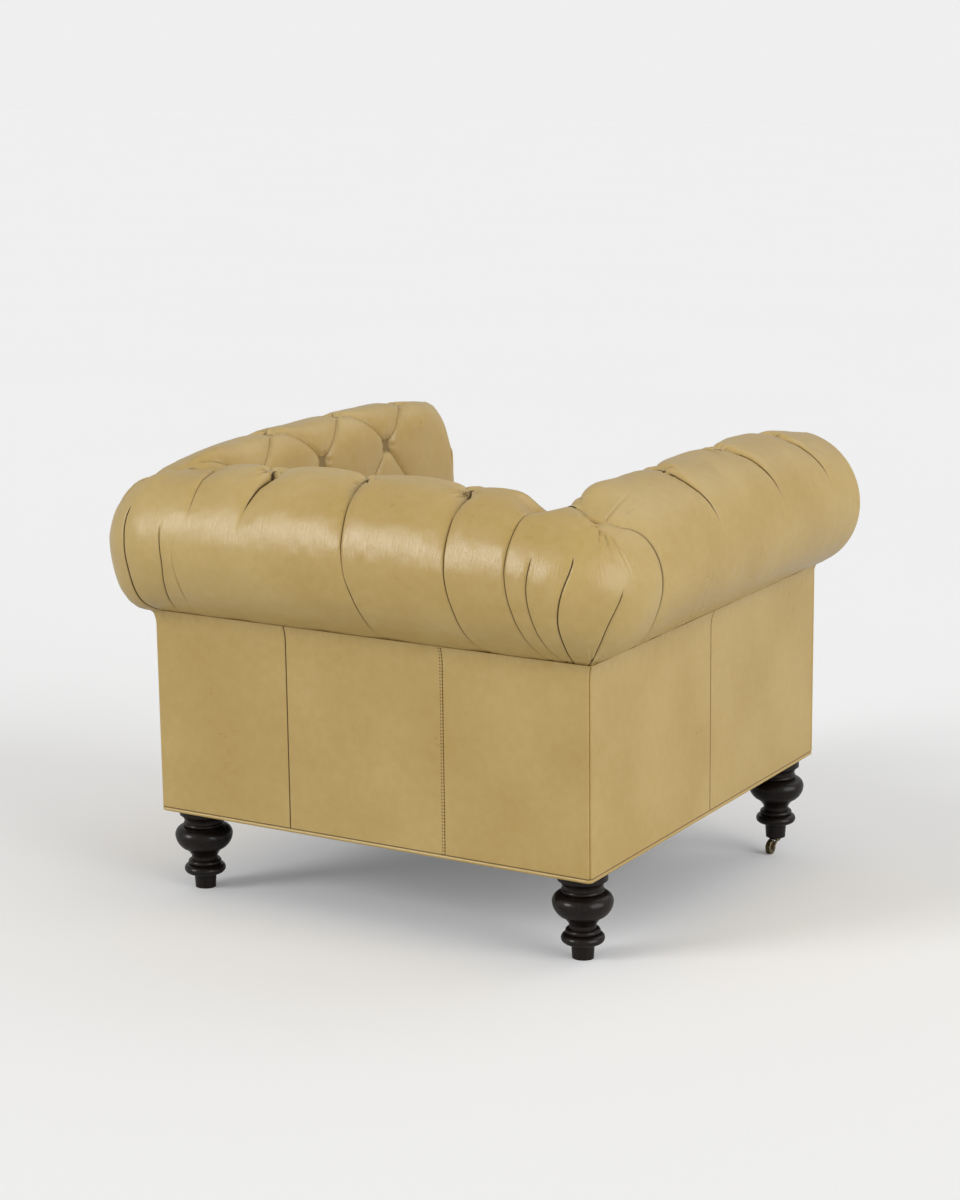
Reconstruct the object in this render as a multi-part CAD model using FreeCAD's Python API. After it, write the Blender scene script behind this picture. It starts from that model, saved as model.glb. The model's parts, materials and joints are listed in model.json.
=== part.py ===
import FreeCAD
import Part
import math
import os

from FreeCAD import Vector

# A deep, low club chair with a buttoned and pleated roll on its arms and back.
# Millimetres. The chair is first built level: the sitter faces -Y, the sitter's
# left is +X, and Z = 0 is the underside of the wooden feet. At the end it is
# leaned back, because the front legs alone stand on casters.

# Body of the chair
box_width = 860.0
box_depth = 870.0
seam_height = 158.0
welt_diameter = 7.0
welt_proud = 1.0
panel_thickness = 8.0
panel_flare = 6.0
panel_flare_height = 30.0
panel_seam_rounding = 2.5
back_seam_offset = 155.0

# Rolls of the arms and the back
roll_radius = 125.0
roll_overhang = 88.0
roll_height = 602.0
arm_thickness = 85.0
corner_axis_setback = 5.0
arm_lean_degrees = 2.4
back_lean_degrees = 12.0
arm_crest_rise = 24.0
back_crest_rise = 18.0
scroll_crest_shift = 20.0
scroll_shoulder_drop = 140.0

# Pleats and buttons
arm_pleat_count = 3
arm_rear_pleat_setback = 268.0
arm_front_pleat_setback = 110.0
back_pleat_count = 3
outer_back_pleat_setback = 68.0
corner_pleat_count = 2
first_row_length = 88.0
row_pitch = 100.0
crest_tuck = 12.0
arm_side_tuck = 3.0
back_side_tuck = 8.0
front_edge_share = 0.4
button_radius = 11.0
button_height = 6.0
button_rim_share = 0.3
dimple_radius = 26.0
dimple_depth = 15.0
button_seat_clearance = 0.5
crease_half_width = 7.0
crease_depth = 7.0
crease_end_setback = 16.0

# Seat
deck_pad_thickness = 45.5
hessian_thickness = 1.5
cushion_height = 145.0
cushion_clearance = 1.5
cushion_lift_gap = 0.3
cushion_front_setback = 5.0
cushion_corner_radius = 38.0
cushion_draw_in = 7.0
cushion_border_share = 0.62
core_margin = 26.0
core_wrap = 15.0
border_nose_radius = 14.0

# Timber frame
rail_thickness = 24.0
rail_height = 93.0
post_width = 60.0
front_post_depth = 28.0
rear_post_depth = 40.0
top_rail_width = 60.0
top_rail_thickness = 28.0
tack_rail_height = 40.0
tack_rail_thickness = 20.0
tack_rail_drop = 2.0
corner_block_reach = 123.0
corner_block_height = 60.0
facing_thickness = 8.0
scroll_board_thickness = 12.0
scroll_board_inset = 1.5
facing_welt_diameter = 6.0
facing_welt_clearance = 0.3

# Suspension and underside
webbing_width = 50.0
webbing_thickness = 3.0
lengthways_straps = 5
crossways_straps = 6
webbing_end_margin = 8.0
dust_cover_thickness = 1.0
leg_plate_size = 66.0
leg_plate_thickness = 3.0

# Legs, turned
leg_inset_x = 47.0
leg_inset_y = 59.0
collar_radius = 42.0
collar_waist_radius = 34.0
bead_radius = 36.0
bulb_radius = 51.0
neck_radius = 23.0
upper_bead_radius = 30.0
ring_radius = 36.5
ankle_radius = 19.5
foot_radius = 18.0
collar_height = 14.0
cove_height = 11.0
waist_height = 4.0
bead_height = 7.0
bulb_upper_height = 15.0
bulb_lower_height = 24.0
taper_height = 16.0
neck_height = 7.0
upper_bead_height = 9.0
ring_height = 15.0
ring_shoulder_height = 5.0
ring_shoulder_width = 5.0
bolt_radius = 4.0
bolt_depth_in_leg = 45.0
bolt_depth_in_block = 45.0

# Casters, on the front legs
caster_rise = 29.0
wheel_radius = 13.5
wheel_width = 10.0
wheel_edge_radius = 2.0
wheel_groove_depth = 1.2
wheel_groove_width = 1.4
caster_trail = 22.0
axle_radius = 2.0
axle_clearance = 0.1
axle_head_radius = 3.4
axle_head_length = 1.2
cheek_thickness = 2.2
cheek_clearance = 0.6
fork_hub_radius = 7.0
fork_gap = 0.3
crown_thickness = 4.6
axle_boss_radius = 4.6
stem_radius = 3.5
stem_length = 28.0
stem_clearance = 0.1
socket_wall = 1.5
socket_flange_radius = 11.0
socket_flange_thickness = 1.2

# Levels and lines that follow from the sizes above
half_width = box_width / 2
half_depth = box_depth / 2
underside = seam_height - welt_diameter
frame_bottom = underside + leg_plate_thickness
roll_crest = seam_height + roll_height
roll_centre = roll_crest - roll_radius
corner_radius = roll_radius + corner_axis_setback
core_x = half_width + roll_overhang - corner_radius
core_y = half_depth + roll_overhang - corner_radius
face_u = half_width - core_x
crest_u = corner_axis_setback
inner_u = face_u - arm_thickness
shoulder_radius = crest_u - inner_u
shoulder_z = roll_crest - shoulder_radius
roll_base = roll_centre - math.sqrt(roll_radius ** 2 - (face_u - crest_u) ** 2)
frame_x = half_width - panel_thickness
frame_y = half_depth - panel_thickness
post_inner_x = frame_x - post_width
scroll_back_y = -half_depth + facing_thickness + scroll_board_thickness
rail_top = frame_bottom + rail_height
webbing_top = rail_top + 2 * webbing_thickness
hessian_top = webbing_top + hessian_thickness
deck_height = hessian_top + deck_pad_thickness
pad_back_y = frame_y - top_rail_width
leg_x = half_width - leg_inset_x
leg_y = half_depth - leg_inset_y
shoulder_arc_length = shoulder_radius * math.pi / 2
arm_rear_pleat = core_y - arm_rear_pleat_setback
arm_front_pleat = scroll_back_y + arm_front_pleat_setback
arm_pleat_spacing = (arm_rear_pleat - arm_front_pleat) / (arm_pleat_count - 1)
back_pleat_spacing = 2 * core_x / (back_pleat_count + 1)
outer_back_pleat = core_x - outer_back_pleat_setback

SIDES = {"left": 1, "right": -1}


def box(x0, x1, y0, y1, z0, z1):
    return Part.makeBox(x1 - x0, y1 - y0, z1 - z0, Vector(x0, y0, z0))


def mirrored(shape, side):
    """The same piece on the sitter's left (side 1) or right (side -1)."""
    if side == 1:
        return shape.copy()
    return shape.mirror(Vector(0, 0, 0), Vector(1, 0, 0))


def prism(points, z0, z1):
    """A straight-sided solid over a polygon of (x, y) points."""
    corners = [Vector(x, y, z0) for x, y in points]
    wire = Part.makePolygon(corners + corners[:1])
    return Part.Face(wire).extrude(Vector(0, 0, z1 - z0))


def line(a, b):
    return Part.LineSegment(a, b).toShape()


def arc(a, middle, b):
    return Part.Arc(a, middle, b).toShape()


# Places on the padded arms and back. A section across them is drawn in (u, z),
# where u runs outwards from the corner's upright axis.

def stretched(z, rise):
    """A height above the roll's centre, where the roll stands taller by rise at its crest."""
    return z + rise * max(0.0, z - roll_centre) / roll_radius


def arched(along, start, end, rise):
    """How much taller the roll stands at a place, between two ends that are held down."""
    share = abs(2 * (along - start) / (end - start) - 1)
    return rise * (1 - min(share, 1.0) ** 3)


def arm_place(y):
    rise = arched(y, scroll_back_y, core_y, arm_crest_rise)
    return lambda u, z: Vector(core_x + u, y, stretched(z, rise))


def back_place(x):
    rise = arched(x, -core_x, core_x, back_crest_rise)
    return lambda u, z: Vector(x, core_y + u, stretched(z, rise))


def corner_place(degrees):
    turn = math.radians(degrees)
    return lambda u, z: Vector(core_x + u * math.sin(turn), core_y + u * math.cos(turn), z)


def on_roll(degrees, drawn_in):
    """A point of the outer round of the roll, in (u, z)."""
    reach = roll_radius - drawn_in
    turn = math.radians(degrees)
    return crest_u + reach * math.cos(turn), roll_centre + reach * math.sin(turn)


def outer_edges(place, tuck, side_tuck, base_u, crest_end_u):
    """The roll's outside, from its underside at the panel round to the crest."""
    start = place(base_u, roll_base)
    widest = place(*on_roll(0, tuck * side_tuck))
    crest = place(crest_end_u, roll_height_at(crest_end_u) - tuck * crest_tuck)
    lower = place(*on_roll(-33, tuck * side_tuck * 0.5))
    upper = place(*on_roll(46, tuck * (side_tuck + crest_tuck) * 0.5))
    return [arc(start, lower, widest), arc(widest, upper, crest)]


def roll_height_at(u):
    """The height of the roll's outer round straight above u."""
    return roll_centre + math.sqrt(roll_radius ** 2 - (u - crest_u) ** 2)


def inner_path(length, lean):
    """A point and outward normal on the inner side, at a length from the crest."""
    slope = math.radians(lean)
    if length < shoulder_arc_length:
        turn = length / shoulder_radius
        point = (crest_u - shoulder_radius * math.sin(turn),
                 shoulder_z + shoulder_radius * math.cos(turn))
        return point, (-math.sin(turn), math.cos(turn))
    run = length - shoulder_arc_length
    point = (inner_u - run * math.sin(slope), shoulder_z - run * math.cos(slope))
    return point, (-math.cos(slope), math.sin(slope))


def inner_reach(z, lean):
    """How far the inner face stands from the corner axis line at a height."""
    return inner_u - (shoulder_z - z) * math.tan(math.radians(lean))


def padding_section(place, tuck, side_tuck, lean, rear_u, front_share=0.0):
    """A closed outline: roll outside, shoulder, inner face, deck and frame side.

    The front share is 1 where the arm takes the outline of its scroll and 0 away from it.
    """
    top_u = crest_u + front_share * scroll_crest_shift
    top_z = roll_height_at(top_u)
    low_z = shoulder_z + front_share * (roll_crest - scroll_shoulder_drop - shoulder_z)
    crest = place(top_u, top_z - tuck * crest_tuck)
    turn = math.pi / 4
    middle = place(top_u - (top_u - inner_u) * math.sin(turn),
                   low_z + (top_z - low_z) * math.cos(turn) - tuck * crest_tuck * 0.35)
    shoulder = place(inner_u, low_z)
    foot = place(inner_reach(deck_height, lean), deck_height)
    rear_foot = place(rear_u, deck_height)
    rear_top = place(rear_u, roll_base)
    base = place(face_u, roll_base)
    edges = outer_edges(place, tuck, side_tuck, face_u, top_u)
    edges.append(arc(crest, middle, shoulder))
    edges.append(line(shoulder, foot))
    edges.append(line(foot, rear_foot))
    edges.append(line(rear_foot, rear_top))
    edges.append(line(rear_top, base))
    return Part.Wire(edges)


def corner_section(place, tuck, side_tuck, degrees):
    """The outline of the rounded corner, from its axis post to the roll's outside."""
    turn = math.radians(degrees)
    base_u = face_u / max(math.cos(turn), math.sin(turn))
    top = roll_crest - tuck * crest_tuck
    edges = outer_edges(place, tuck, side_tuck, base_u, crest_u)
    edges.append(line(place(crest_u, top), place(crest_u, roll_base)))
    edges.append(line(place(crest_u, roll_base), place(base_u, roll_base)))
    return Part.Wire(edges)


def lobe(start, end, start_tuck, end_tuck, section):
    """A swelling of padding between two pleats, drawn in at both of them."""
    span = end - start
    shares = [(0.0, start_tuck), (0.1, 0.5 * start_tuck), (0.28, 0.12 * start_tuck),
              (0.72, 0.12 * end_tuck), (0.9, 0.5 * end_tuck), (1.0, end_tuck)]
    wires = [section(start + share * span, tuck) for share, tuck in shares]
    return Part.makeLoft(wires, True, True)


def row_lengths():
    """How far each row of buttons lies from the crest, along the inner side."""
    return [0.0, first_row_length, first_row_length + row_pitch, first_row_length + 2 * row_pitch]


def pleat_places(first, spacing, count):
    return [first + spacing * k for k in range(count)]


def arm_rows():
    """Button places along an arm: pleat rows and the rows half way between them."""
    pleats = pleat_places(arm_front_pleat, arm_pleat_spacing, arm_pleat_count)
    between = [pleat + arm_pleat_spacing / 2 for pleat in pleats]
    return [pleats, between, pleats, between]


def back_rows():
    """Button places along the back, the same on both sides of the middle."""
    first = back_pleat_spacing - core_x
    pleats = pleat_places(first, back_pleat_spacing, back_pleat_count)
    between = pleat_places(first - back_pleat_spacing / 2, back_pleat_spacing, back_pleat_count + 1)
    return [pleats, between, pleats, between]


def surface_frame(along, length, lean, placer):
    """A point of a padded face and its outward normal."""
    (u, z), (normal_u, normal_z) = inner_path(length, lean)
    place = placer(along)
    point = place(u, z)
    normal = place(u + normal_u, z + normal_z).sub(point)
    return point, normal


def crease_cutter(start, end, lean, placer):
    """A narrow wedge under the fold between two buttons, each (along, length)."""
    crosses_shoulder = min(start[1], end[1]) < shoulder_arc_length
    pieces = 3 if crosses_shoulder else 1
    reach = math.hypot(end[0] - start[0], end[1] - start[1])
    end_share = crease_end_setback / reach
    wires = []
    frames = []
    for k in range(pieces + 1):
        share = end_share + (1 - 2 * end_share) * k / pieces
        along = start[0] + (end[0] - start[0]) * share
        length = start[1] + (end[1] - start[1]) * share
        frames.append(surface_frame(along, length, lean, placer))
    run = frames[-1][0].sub(frames[0][0])
    for point, normal in frames:
        across = run.cross(normal)
        across.normalize()
        lip = point.add(normal * crease_half_width)
        left = lip.add(across * crease_half_width * 2)
        right = lip.sub(across * crease_half_width * 2)
        apex = point.sub(normal * crease_depth)
        wires.append(Part.makePolygon([left, right, apex, left]))
    return Part.makeLoft(wires, True, True)


def crease_cutters(rows, lean, placer):
    """Folds from each button to its neighbours in the next row, and down to the seat."""
    lengths = row_lengths()
    half_step = abs(rows[0][0] - rows[1][0]) if len(rows[0]) else 0.0
    cutters = []
    for upper, lower, upper_length, lower_length in zip(rows, rows[1:], lengths, lengths[1:]):
        for a in upper:
            for b in lower:
                if abs(a - b) < half_step * 1.1:
                    cutters.append(crease_cutter((a, upper_length), (b, lower_length), lean, placer))
    seat_length = lengths[-1] + row_pitch
    for a in rows[-1]:
        cutters.append(crease_cutter((a, lengths[-1]), (a, seat_length), lean, placer))
    return cutters


def dimple_cutters(rows, lean, placer):
    """The hollows that the buttons pull into the padding."""
    cutters = []
    for places, length in zip(rows, row_lengths()):
        for along in places:
            point, normal = surface_frame(along, length, lean, placer)
            floor = point.sub(normal * dimple_depth)
            floor_radius = button_radius + button_seat_clearance
            slope = (dimple_radius - floor_radius) / dimple_depth
            height = dimple_depth * 2
            cutters.append(Part.makeCone(floor_radius, floor_radius + slope * height, height, floor, normal))
    return cutters


def button_dome():
    """A covered button: a low dome on a short rim, standing on the XY plane."""
    rim = button_height * button_rim_share
    centre = Vector(0, 0, 0)
    edge_foot = Vector(button_radius, 0, 0)
    edge_top = Vector(button_radius, 0, rim)
    top = Vector(0, 0, button_height)
    middle = Vector(button_radius * 0.62, 0, rim + (button_height - rim) * 0.72)
    outline = Part.Wire([arc(top, middle, edge_top), line(edge_top, edge_foot),
                         line(edge_foot, centre), line(centre, top)])
    return Part.Face(outline).revolve(centre, Vector(0, 0, 1), 360)


def button_shapes(rows, lean, placer):
    """One covered button on the floor of each hollow."""
    buttons = []
    for places, length in zip(rows, row_lengths()):
        for along in places:
            point, normal = surface_frame(along, length, lean, placer)
            button = button_dome()
            button.Placement = FreeCAD.Placement(point.sub(normal * dimple_depth),
                                                 FreeCAD.Rotation(Vector(0, 0, 1), normal))
            buttons.append(button)
    return buttons


def arm_padding():
    """The left arm's padding: a pleated roll and the buttoned inside of the arm."""
    rear_u = post_inner_x - core_x
    front_lobe = arm_front_pleat - scroll_back_y

    def section(y, tuck):
        front_share = max(0.0, 1 - (y - scroll_back_y) / front_lobe) ** 2
        return padding_section(arm_place(y), tuck, arm_side_tuck, arm_lean_degrees, rear_u, front_share)

    stops = [scroll_back_y] + arm_rows()[0] + [core_y]
    tucks = [front_edge_share] + [1.0] * (len(stops) - 1)
    body = None
    for a, b, tuck_a, tuck_b in zip(stops, stops[1:], tucks, tucks[1:]):
        piece = lobe(a, b, tuck_a, tuck_b, section)
        body = piece if body is None else body.fuse(piece)
    body = body.cut(crease_cutters(arm_rows(), arm_lean_degrees, arm_place))
    body = body.cut(dimple_cutters(arm_rows(), arm_lean_degrees, arm_place))
    return body.cut(back_top_rail())


def back_padding(arms):
    """The back's padding between the corners, fitted against both arms."""
    rear_u = pad_back_y - core_y

    def section(x, tuck):
        return padding_section(back_place(x), tuck, back_side_tuck, back_lean_degrees, rear_u)

    stops = [-core_x, -outer_back_pleat] + back_rows()[0] + [outer_back_pleat, core_x]
    body = None
    for a, b in zip(stops, stops[1:]):
        piece = lobe(a, b, 1.0, 1.0, section)
        body = piece if body is None else body.fuse(piece)
    body = body.cut(crease_cutters(back_rows(), back_lean_degrees, back_place))
    body = body.cut(dimple_cutters(back_rows(), back_lean_degrees, back_place))
    body = body.cut(arms)
    beside_arm = box(core_x + inner_reach(roll_base, arm_lean_degrees), core_x, 0, pad_back_y,
                     deck_height, roll_base)
    return body.cut([mirrored(beside_arm, side) for side in SIDES.values()])


def corner_padding():
    """The rounded left rear corner of the roll, gathered in pleats."""
    def section(degrees, tuck):
        return corner_section(corner_place(degrees), tuck, back_side_tuck, degrees)

    count = corner_pleat_count + 1
    stops = [90.0 * k / count for k in range(count + 1)]
    reach = 2 * crest_u
    body = box(core_x, core_x + reach, core_y, core_y + reach, roll_base, roll_crest - crest_tuck - 1)
    for a, b in zip(stops, stops[1:]):
        body = body.fuse(lobe(a, b, 1.0, 1.0, section))
    return body


def cushion_outline(inset, z):
    """A rounded rectangle whose sides are drawn in between its corners."""
    x1 = cushion_half_width() - inset
    y0, y1 = cushion_ends()
    y0 += inset
    y1 -= inset
    r = cushion_corner_radius
    k = r * (1 - math.sqrt(0.5))
    cx = 0.0
    cy = (y0 + y1) / 2
    d = cushion_draw_in
    edges = [
        arc(Vector(-x1 + r, y0, z), Vector(cx, y0 + d, z), Vector(x1 - r, y0, z)),
        arc(Vector(x1 - r, y0, z), Vector(x1 - k, y0 + k, z), Vector(x1, y0 + r, z)),
        arc(Vector(x1, y0 + r, z), Vector(x1 - d, cy, z), Vector(x1, y1 - r, z)),
        arc(Vector(x1, y1 - r, z), Vector(x1 - k, y1 - k, z), Vector(x1 - r, y1, z)),
        arc(Vector(x1 - r, y1, z), Vector(cx, y1 - d, z), Vector(-x1 + r, y1, z)),
        arc(Vector(-x1 + r, y1, z), Vector(-x1 + k, y1 - k, z), Vector(-x1, y1 - r, z)),
        arc(Vector(-x1, y1 - r, z), Vector(-x1 + d, cy, z), Vector(-x1, y0 + r, z)),
        arc(Vector(-x1, y0 + r, z), Vector(-x1 + k, y0 + k, z), Vector(-x1 + r, y0, z)),
    ]
    return Part.Wire(edges)


def cushion_half_width():
    return core_x + inner_reach(deck_height, arm_lean_degrees) - cushion_clearance


def cushion_ends():
    front = -half_depth + cushion_front_setback
    rear = core_y + inner_reach(deck_height, back_lean_degrees) - cushion_clearance
    return front, rear


def cushion_bottom():
    return deck_height + cushion_lift_gap


def cushion_levels():
    """How far the seat cushion's outline is drawn in at each height."""
    border = cushion_height * cushion_border_share
    crown = cushion_height - border
    return [(10.0, 0.0), (2.0, 7.0), (0.0, 0.35 * border), (0.0, 0.75 * border), (4.0, border),
            (34.0, border + 0.45 * crown), (100.0, border + 0.85 * crown),
            (170.0, border + crown)]


def stacked_outlines(levels):
    wires = [cushion_outline(inset, cushion_bottom() + height) for inset, height in levels]
    return Part.makeLoft(wires, True, True)


def cushion_core():
    """The crowned foam block inside the seat cushion."""
    upper = cushion_levels()[3:]
    levels = [(core_margin, core_wrap)]
    levels += [(core_margin + inset, height - core_wrap) for inset, height in upper]
    return stacked_outlines(levels)


def cushion_cover():
    """The seat cushion's leather cover and wrap, crowned and drawn in at the sides."""
    return stacked_outlines(cushion_levels()).cut(cushion_core())


def deck_pad():
    return box(-post_inner_x, post_inner_x, scroll_back_y, pad_back_y, hessian_top, deck_height)


def hessian_deck():
    """The cloth laid over the webbing, under the deck padding."""
    return box(-post_inner_x, post_inner_x, scroll_back_y, pad_back_y, webbing_top, hessian_top)


def front_border():
    """The leather band below the seat cushion, with a rounded nose at its top."""
    x1 = core_x + inner_reach(deck_height, arm_lean_degrees) - facing_welt_clearance
    front = -half_depth
    nose = border_nose_radius
    k = nose * (1 - math.sqrt(0.5))
    band_back = -frame_y
    points = [Vector(-x1, front, seam_height), Vector(-x1, band_back, seam_height),
              Vector(-x1, band_back, hessian_top), Vector(-x1, scroll_back_y, hessian_top),
              Vector(-x1, scroll_back_y, deck_height), Vector(-x1, front + nose, deck_height),
              Vector(-x1, front, deck_height - nose)]
    edges = [line(a, b) for a, b in zip(points, points[1:6])]
    edges.append(arc(points[5], Vector(-x1, front + k, deck_height - k), points[6]))
    edges.append(line(points[6], points[0]))
    return Part.Face(Part.Wire(edges)).extrude(Vector(2 * x1, 0, 0))


def scroll_edges(y, inset, face_inset, base):
    """The front outline of an arm: upright stem with the roll as a scroll on top."""
    radius = roll_radius - inset
    outer_x = half_width - face_inset
    centre_x = core_x + crest_u
    inner_x = core_x + inner_u + inset
    foot_x = core_x + inner_reach(deck_height, arm_lean_degrees) + inset
    round_foot = roll_centre - math.sqrt(radius ** 2 - (outer_x - centre_x) ** 2)
    meet = max(round_foot, roll_base)
    round_middle = math.radians(10)
    start = Vector(outer_x, y, base)
    neck = Vector(outer_x, y, meet)
    widest = Vector(centre_x + radius * math.cos(round_middle), y,
                    roll_centre + radius * math.sin(round_middle))
    crest = Vector(centre_x + scroll_crest_shift, y,
                   roll_centre + math.sqrt(radius ** 2 - scroll_crest_shift ** 2))
    shoulder = Vector(inner_x, y, roll_crest - scroll_shoulder_drop)
    deck = Vector(foot_x, y, deck_height)
    foot = Vector(foot_x, y, base)
    return [line(start, neck), arc(neck, widest, crest), scroll_shoulder(crest, shoulder),
            line(shoulder, deck), line(deck, foot), line(foot, start)]


def scroll_shoulder(crest, shoulder):
    """The scroll's inner side: it runs on smoothly from the round and ends upright."""
    across = crest.x - shoulder.x
    height = crest.z - shoulder.z
    points = []
    for degrees in (0, 22.5, 45, 67.5, 90):
        turn = math.radians(degrees)
        points.append(Vector(crest.x - across * math.sin(turn), crest.y,
                             shoulder.z + height * math.cos(turn)))
    along_round = Vector(roll_centre - crest.z, 0, scroll_crest_shift).normalize()
    curve = Part.BSplineCurve()
    curve.interpolate(Points=points, InitialTangent=along_round, FinalTangent=Vector(0, 0, -1))
    return curve.toShape()


def scroll_plate(y0, y1, inset, face_inset, base):
    wire = Part.Wire(scroll_edges(y0, inset, face_inset, base))
    return Part.Face(wire).extrude(Vector(0, y1 - y0, 0))


def scroll_board():
    """The wooden board that gives the arm front its outline."""
    return scroll_plate(-half_depth + facing_thickness, scroll_back_y, scroll_board_inset,
                        panel_thickness, frame_bottom)


def arm_facing():
    """The leather-covered panel on the front of the arm, inside its welt."""
    inset = facing_welt_diameter + facing_welt_clearance
    return scroll_plate(-half_depth, -half_depth + facing_thickness, inset, inset, seam_height)


def facing_welt():
    """The piped edge round the arm front, from the floor side up and over the scroll."""
    inset = facing_welt_diameter / 2
    y = -half_depth + facing_thickness - facing_welt_diameter / 2
    path = Part.Wire(scroll_edges(y, inset, inset, seam_height)[:5])
    start = Vector(half_width - inset, y, seam_height)
    ring = Part.Wire(Part.makeCircle(facing_welt_diameter / 2, start, Vector(0, 0, 1)))
    return path.makePipeShell([ring], True, False, 2)


def mitre_cutter(keep_side):
    """A wedge that trims a side or back panel on the diagonal of the rear corner."""
    reach = panel_thickness + panel_flare + 4
    inner = (half_width - reach, half_depth - reach)
    outer = (half_width + reach, half_depth + reach)
    third = (half_width - reach, half_depth + reach) if keep_side else (half_width + reach, half_depth - reach)
    return prism([inner, outer, third], seam_height - 1, roll_base + 1)


def flared_profile(place):
    """A panel's upright section: flat, then flaring out just under the roll."""
    flare_start = roll_base - panel_flare_height
    inner_bottom = place(-panel_thickness, seam_height)
    outer_bottom = place(0, seam_height)
    flare_foot = place(0, flare_start)
    flare_middle = place(panel_flare * 0.28, flare_start + panel_flare_height * 0.55)
    flare_top = place(panel_flare, roll_base)
    inner_top = place(-panel_thickness, roll_base)
    return Part.Face(Part.Wire([line(inner_bottom, outer_bottom), line(outer_bottom, flare_foot),
                                arc(flare_foot, flare_middle, flare_top),
                                line(flare_top, inner_top), line(inner_top, inner_bottom)]))


def seam_rounded(panel, on_seam):
    """Rounds the outer upright edges that lie on a seam."""
    edges = []
    for edge in panel.Edges:
        middle = edge.CenterOfMass
        upright = abs(edge.BoundBox.ZLength) > panel_flare_height * 0.9
        if upright and on_seam(middle):
            edges.append(edge)
    return panel.makeFillet(panel_seam_rounding, edges)


def side_panel(y0, y1):
    """A leather panel of the left outside arm between two seams."""
    face = flared_profile(lambda out, z: Vector(half_width + out, y0, z))
    rear = y1 + panel_flare if y1 >= half_depth else y1
    panel = face.extrude(Vector(0, rear - y0, 0))
    panel = panel.cut(mitre_cutter(True))
    return seam_rounded(panel, lambda p: p.x > half_width - 1 and (p.y < y0 + 1 or p.y > y1 - 1))


def back_panel(x0, x1):
    """A leather panel of the outside back between two seams."""
    left = x0 - panel_flare if x0 <= -half_width else x0
    right = x1 + panel_flare if x1 >= half_width else x1
    face = flared_profile(lambda out, z: Vector(left, half_depth + out, z))
    panel = face.extrude(Vector(right - left, 0, 0))
    panel = panel.cut([mitre_cutter(False), mirrored(mitre_cutter(False), -1)])
    return seam_rounded(panel, lambda p: p.y > half_depth - 1 and (p.x < x0 + 1 or p.x > x1 - 1))


def bottom_welt():
    """One piped cord round the foot of the chair, just below the panels."""
    x1 = half_width + welt_proud - welt_diameter / 2
    y1 = half_depth + welt_proud - welt_diameter / 2
    z = seam_height - welt_diameter / 2
    r = welt_diameter
    k = r * (1 - math.sqrt(0.5))
    edges = [line(Vector(0, y1, z), Vector(x1 - r, y1, z)),
             arc(Vector(x1 - r, y1, z), Vector(x1 - k, y1 - k, z), Vector(x1, y1 - r, z)),
             line(Vector(x1, y1 - r, z), Vector(x1, -y1 + r, z)),
             arc(Vector(x1, -y1 + r, z), Vector(x1 - k, -y1 + k, z), Vector(x1 - r, -y1, z)),
             line(Vector(x1 - r, -y1, z), Vector(0, -y1, z))]
    ring = Part.Wire(Part.makeCircle(welt_diameter / 2, Vector(0, y1, z), Vector(1, 0, 0)))
    half = Part.Wire(edges).makePipeShell([ring], True, False, 2)
    return half.fuse(mirrored(half, -1)).removeSplitter()


def front_rail():
    """The front seat rail, rebated at both ends behind the scroll boards."""
    y0 = -frame_y
    rail = box(-post_inner_x, post_inner_x, y0, y0 + rail_thickness, frame_bottom, rail_top)
    return rail.cut([mirrored(scroll_board(), side) for side in SIDES.values()])


def rear_rail():
    return box(-post_inner_x, post_inner_x, frame_y - rail_thickness, frame_y, frame_bottom, rail_top)


def front_post_back():
    return scroll_back_y + front_post_depth


def rear_post_front():
    return frame_y - rear_post_depth


def side_rail():
    return box(frame_x - rail_thickness, frame_x, front_post_back(), rear_post_front(),
               frame_bottom, rail_top + webbing_thickness)


def post_top():
    return roll_base - top_rail_thickness


def front_post():
    return box(post_inner_x, frame_x, scroll_back_y, front_post_back(), frame_bottom, post_top())


def rear_post():
    return box(post_inner_x, frame_x, rear_post_front(), frame_y, frame_bottom, post_top())


def arm_top_rail():
    return box(frame_x - top_rail_width, frame_x, scroll_back_y, frame_y, post_top(), roll_base)


def back_top_rail():
    return box(-post_inner_x, post_inner_x, frame_y - top_rail_width, frame_y, post_top(), roll_base)


def tack_rail_top():
    return deck_height - tack_rail_drop


def arm_tack_rail():
    """The rail that the inside arm's cloth is tacked to, level with the deck."""
    return box(post_inner_x, post_inner_x + tack_rail_thickness, front_post_back(), rear_post_front(),
               tack_rail_top() - tack_rail_height, tack_rail_top())


def back_tack_rail():
    return box(-post_inner_x, post_inner_x, pad_back_y, pad_back_y + tack_rail_thickness,
               tack_rail_top() - tack_rail_height, tack_rail_top())


def corner_block(front):
    """A glued block in a corner of the seat frame, notched round the post."""
    rail_x = frame_x - rail_thickness
    rail_y = frame_y - rail_thickness
    post_face = -front_post_back() if front else rear_post_front()
    points = [(rail_x, post_face), (rail_x, rail_y - corner_block_reach),
              (rail_x - corner_block_reach, rail_y), (post_inner_x, rail_y),
              (post_inner_x, post_face)]
    block = prism(points, frame_bottom, frame_bottom + corner_block_height)
    block = block.cut(leg_bolt(1))
    if front:
        return block.mirror(Vector(0, 0, 0), Vector(0, 1, 0))
    return block


def leg_bolt(rear):
    """The hanger bolt that holds a leg: rear is 1 or -1."""
    start = Vector(leg_x, rear * leg_y, underside - bolt_depth_in_leg)
    length = bolt_depth_in_leg + leg_plate_thickness + bolt_depth_in_block
    return Part.makeCylinder(bolt_radius, length, start)


def leg_plate(rear):
    half = leg_plate_size / 2
    plate = box(leg_x - half, leg_x + half, rear * leg_y - half, rear * leg_y + half,
                underside, frame_bottom)
    return plate.cut(leg_bolt(rear))


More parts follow.
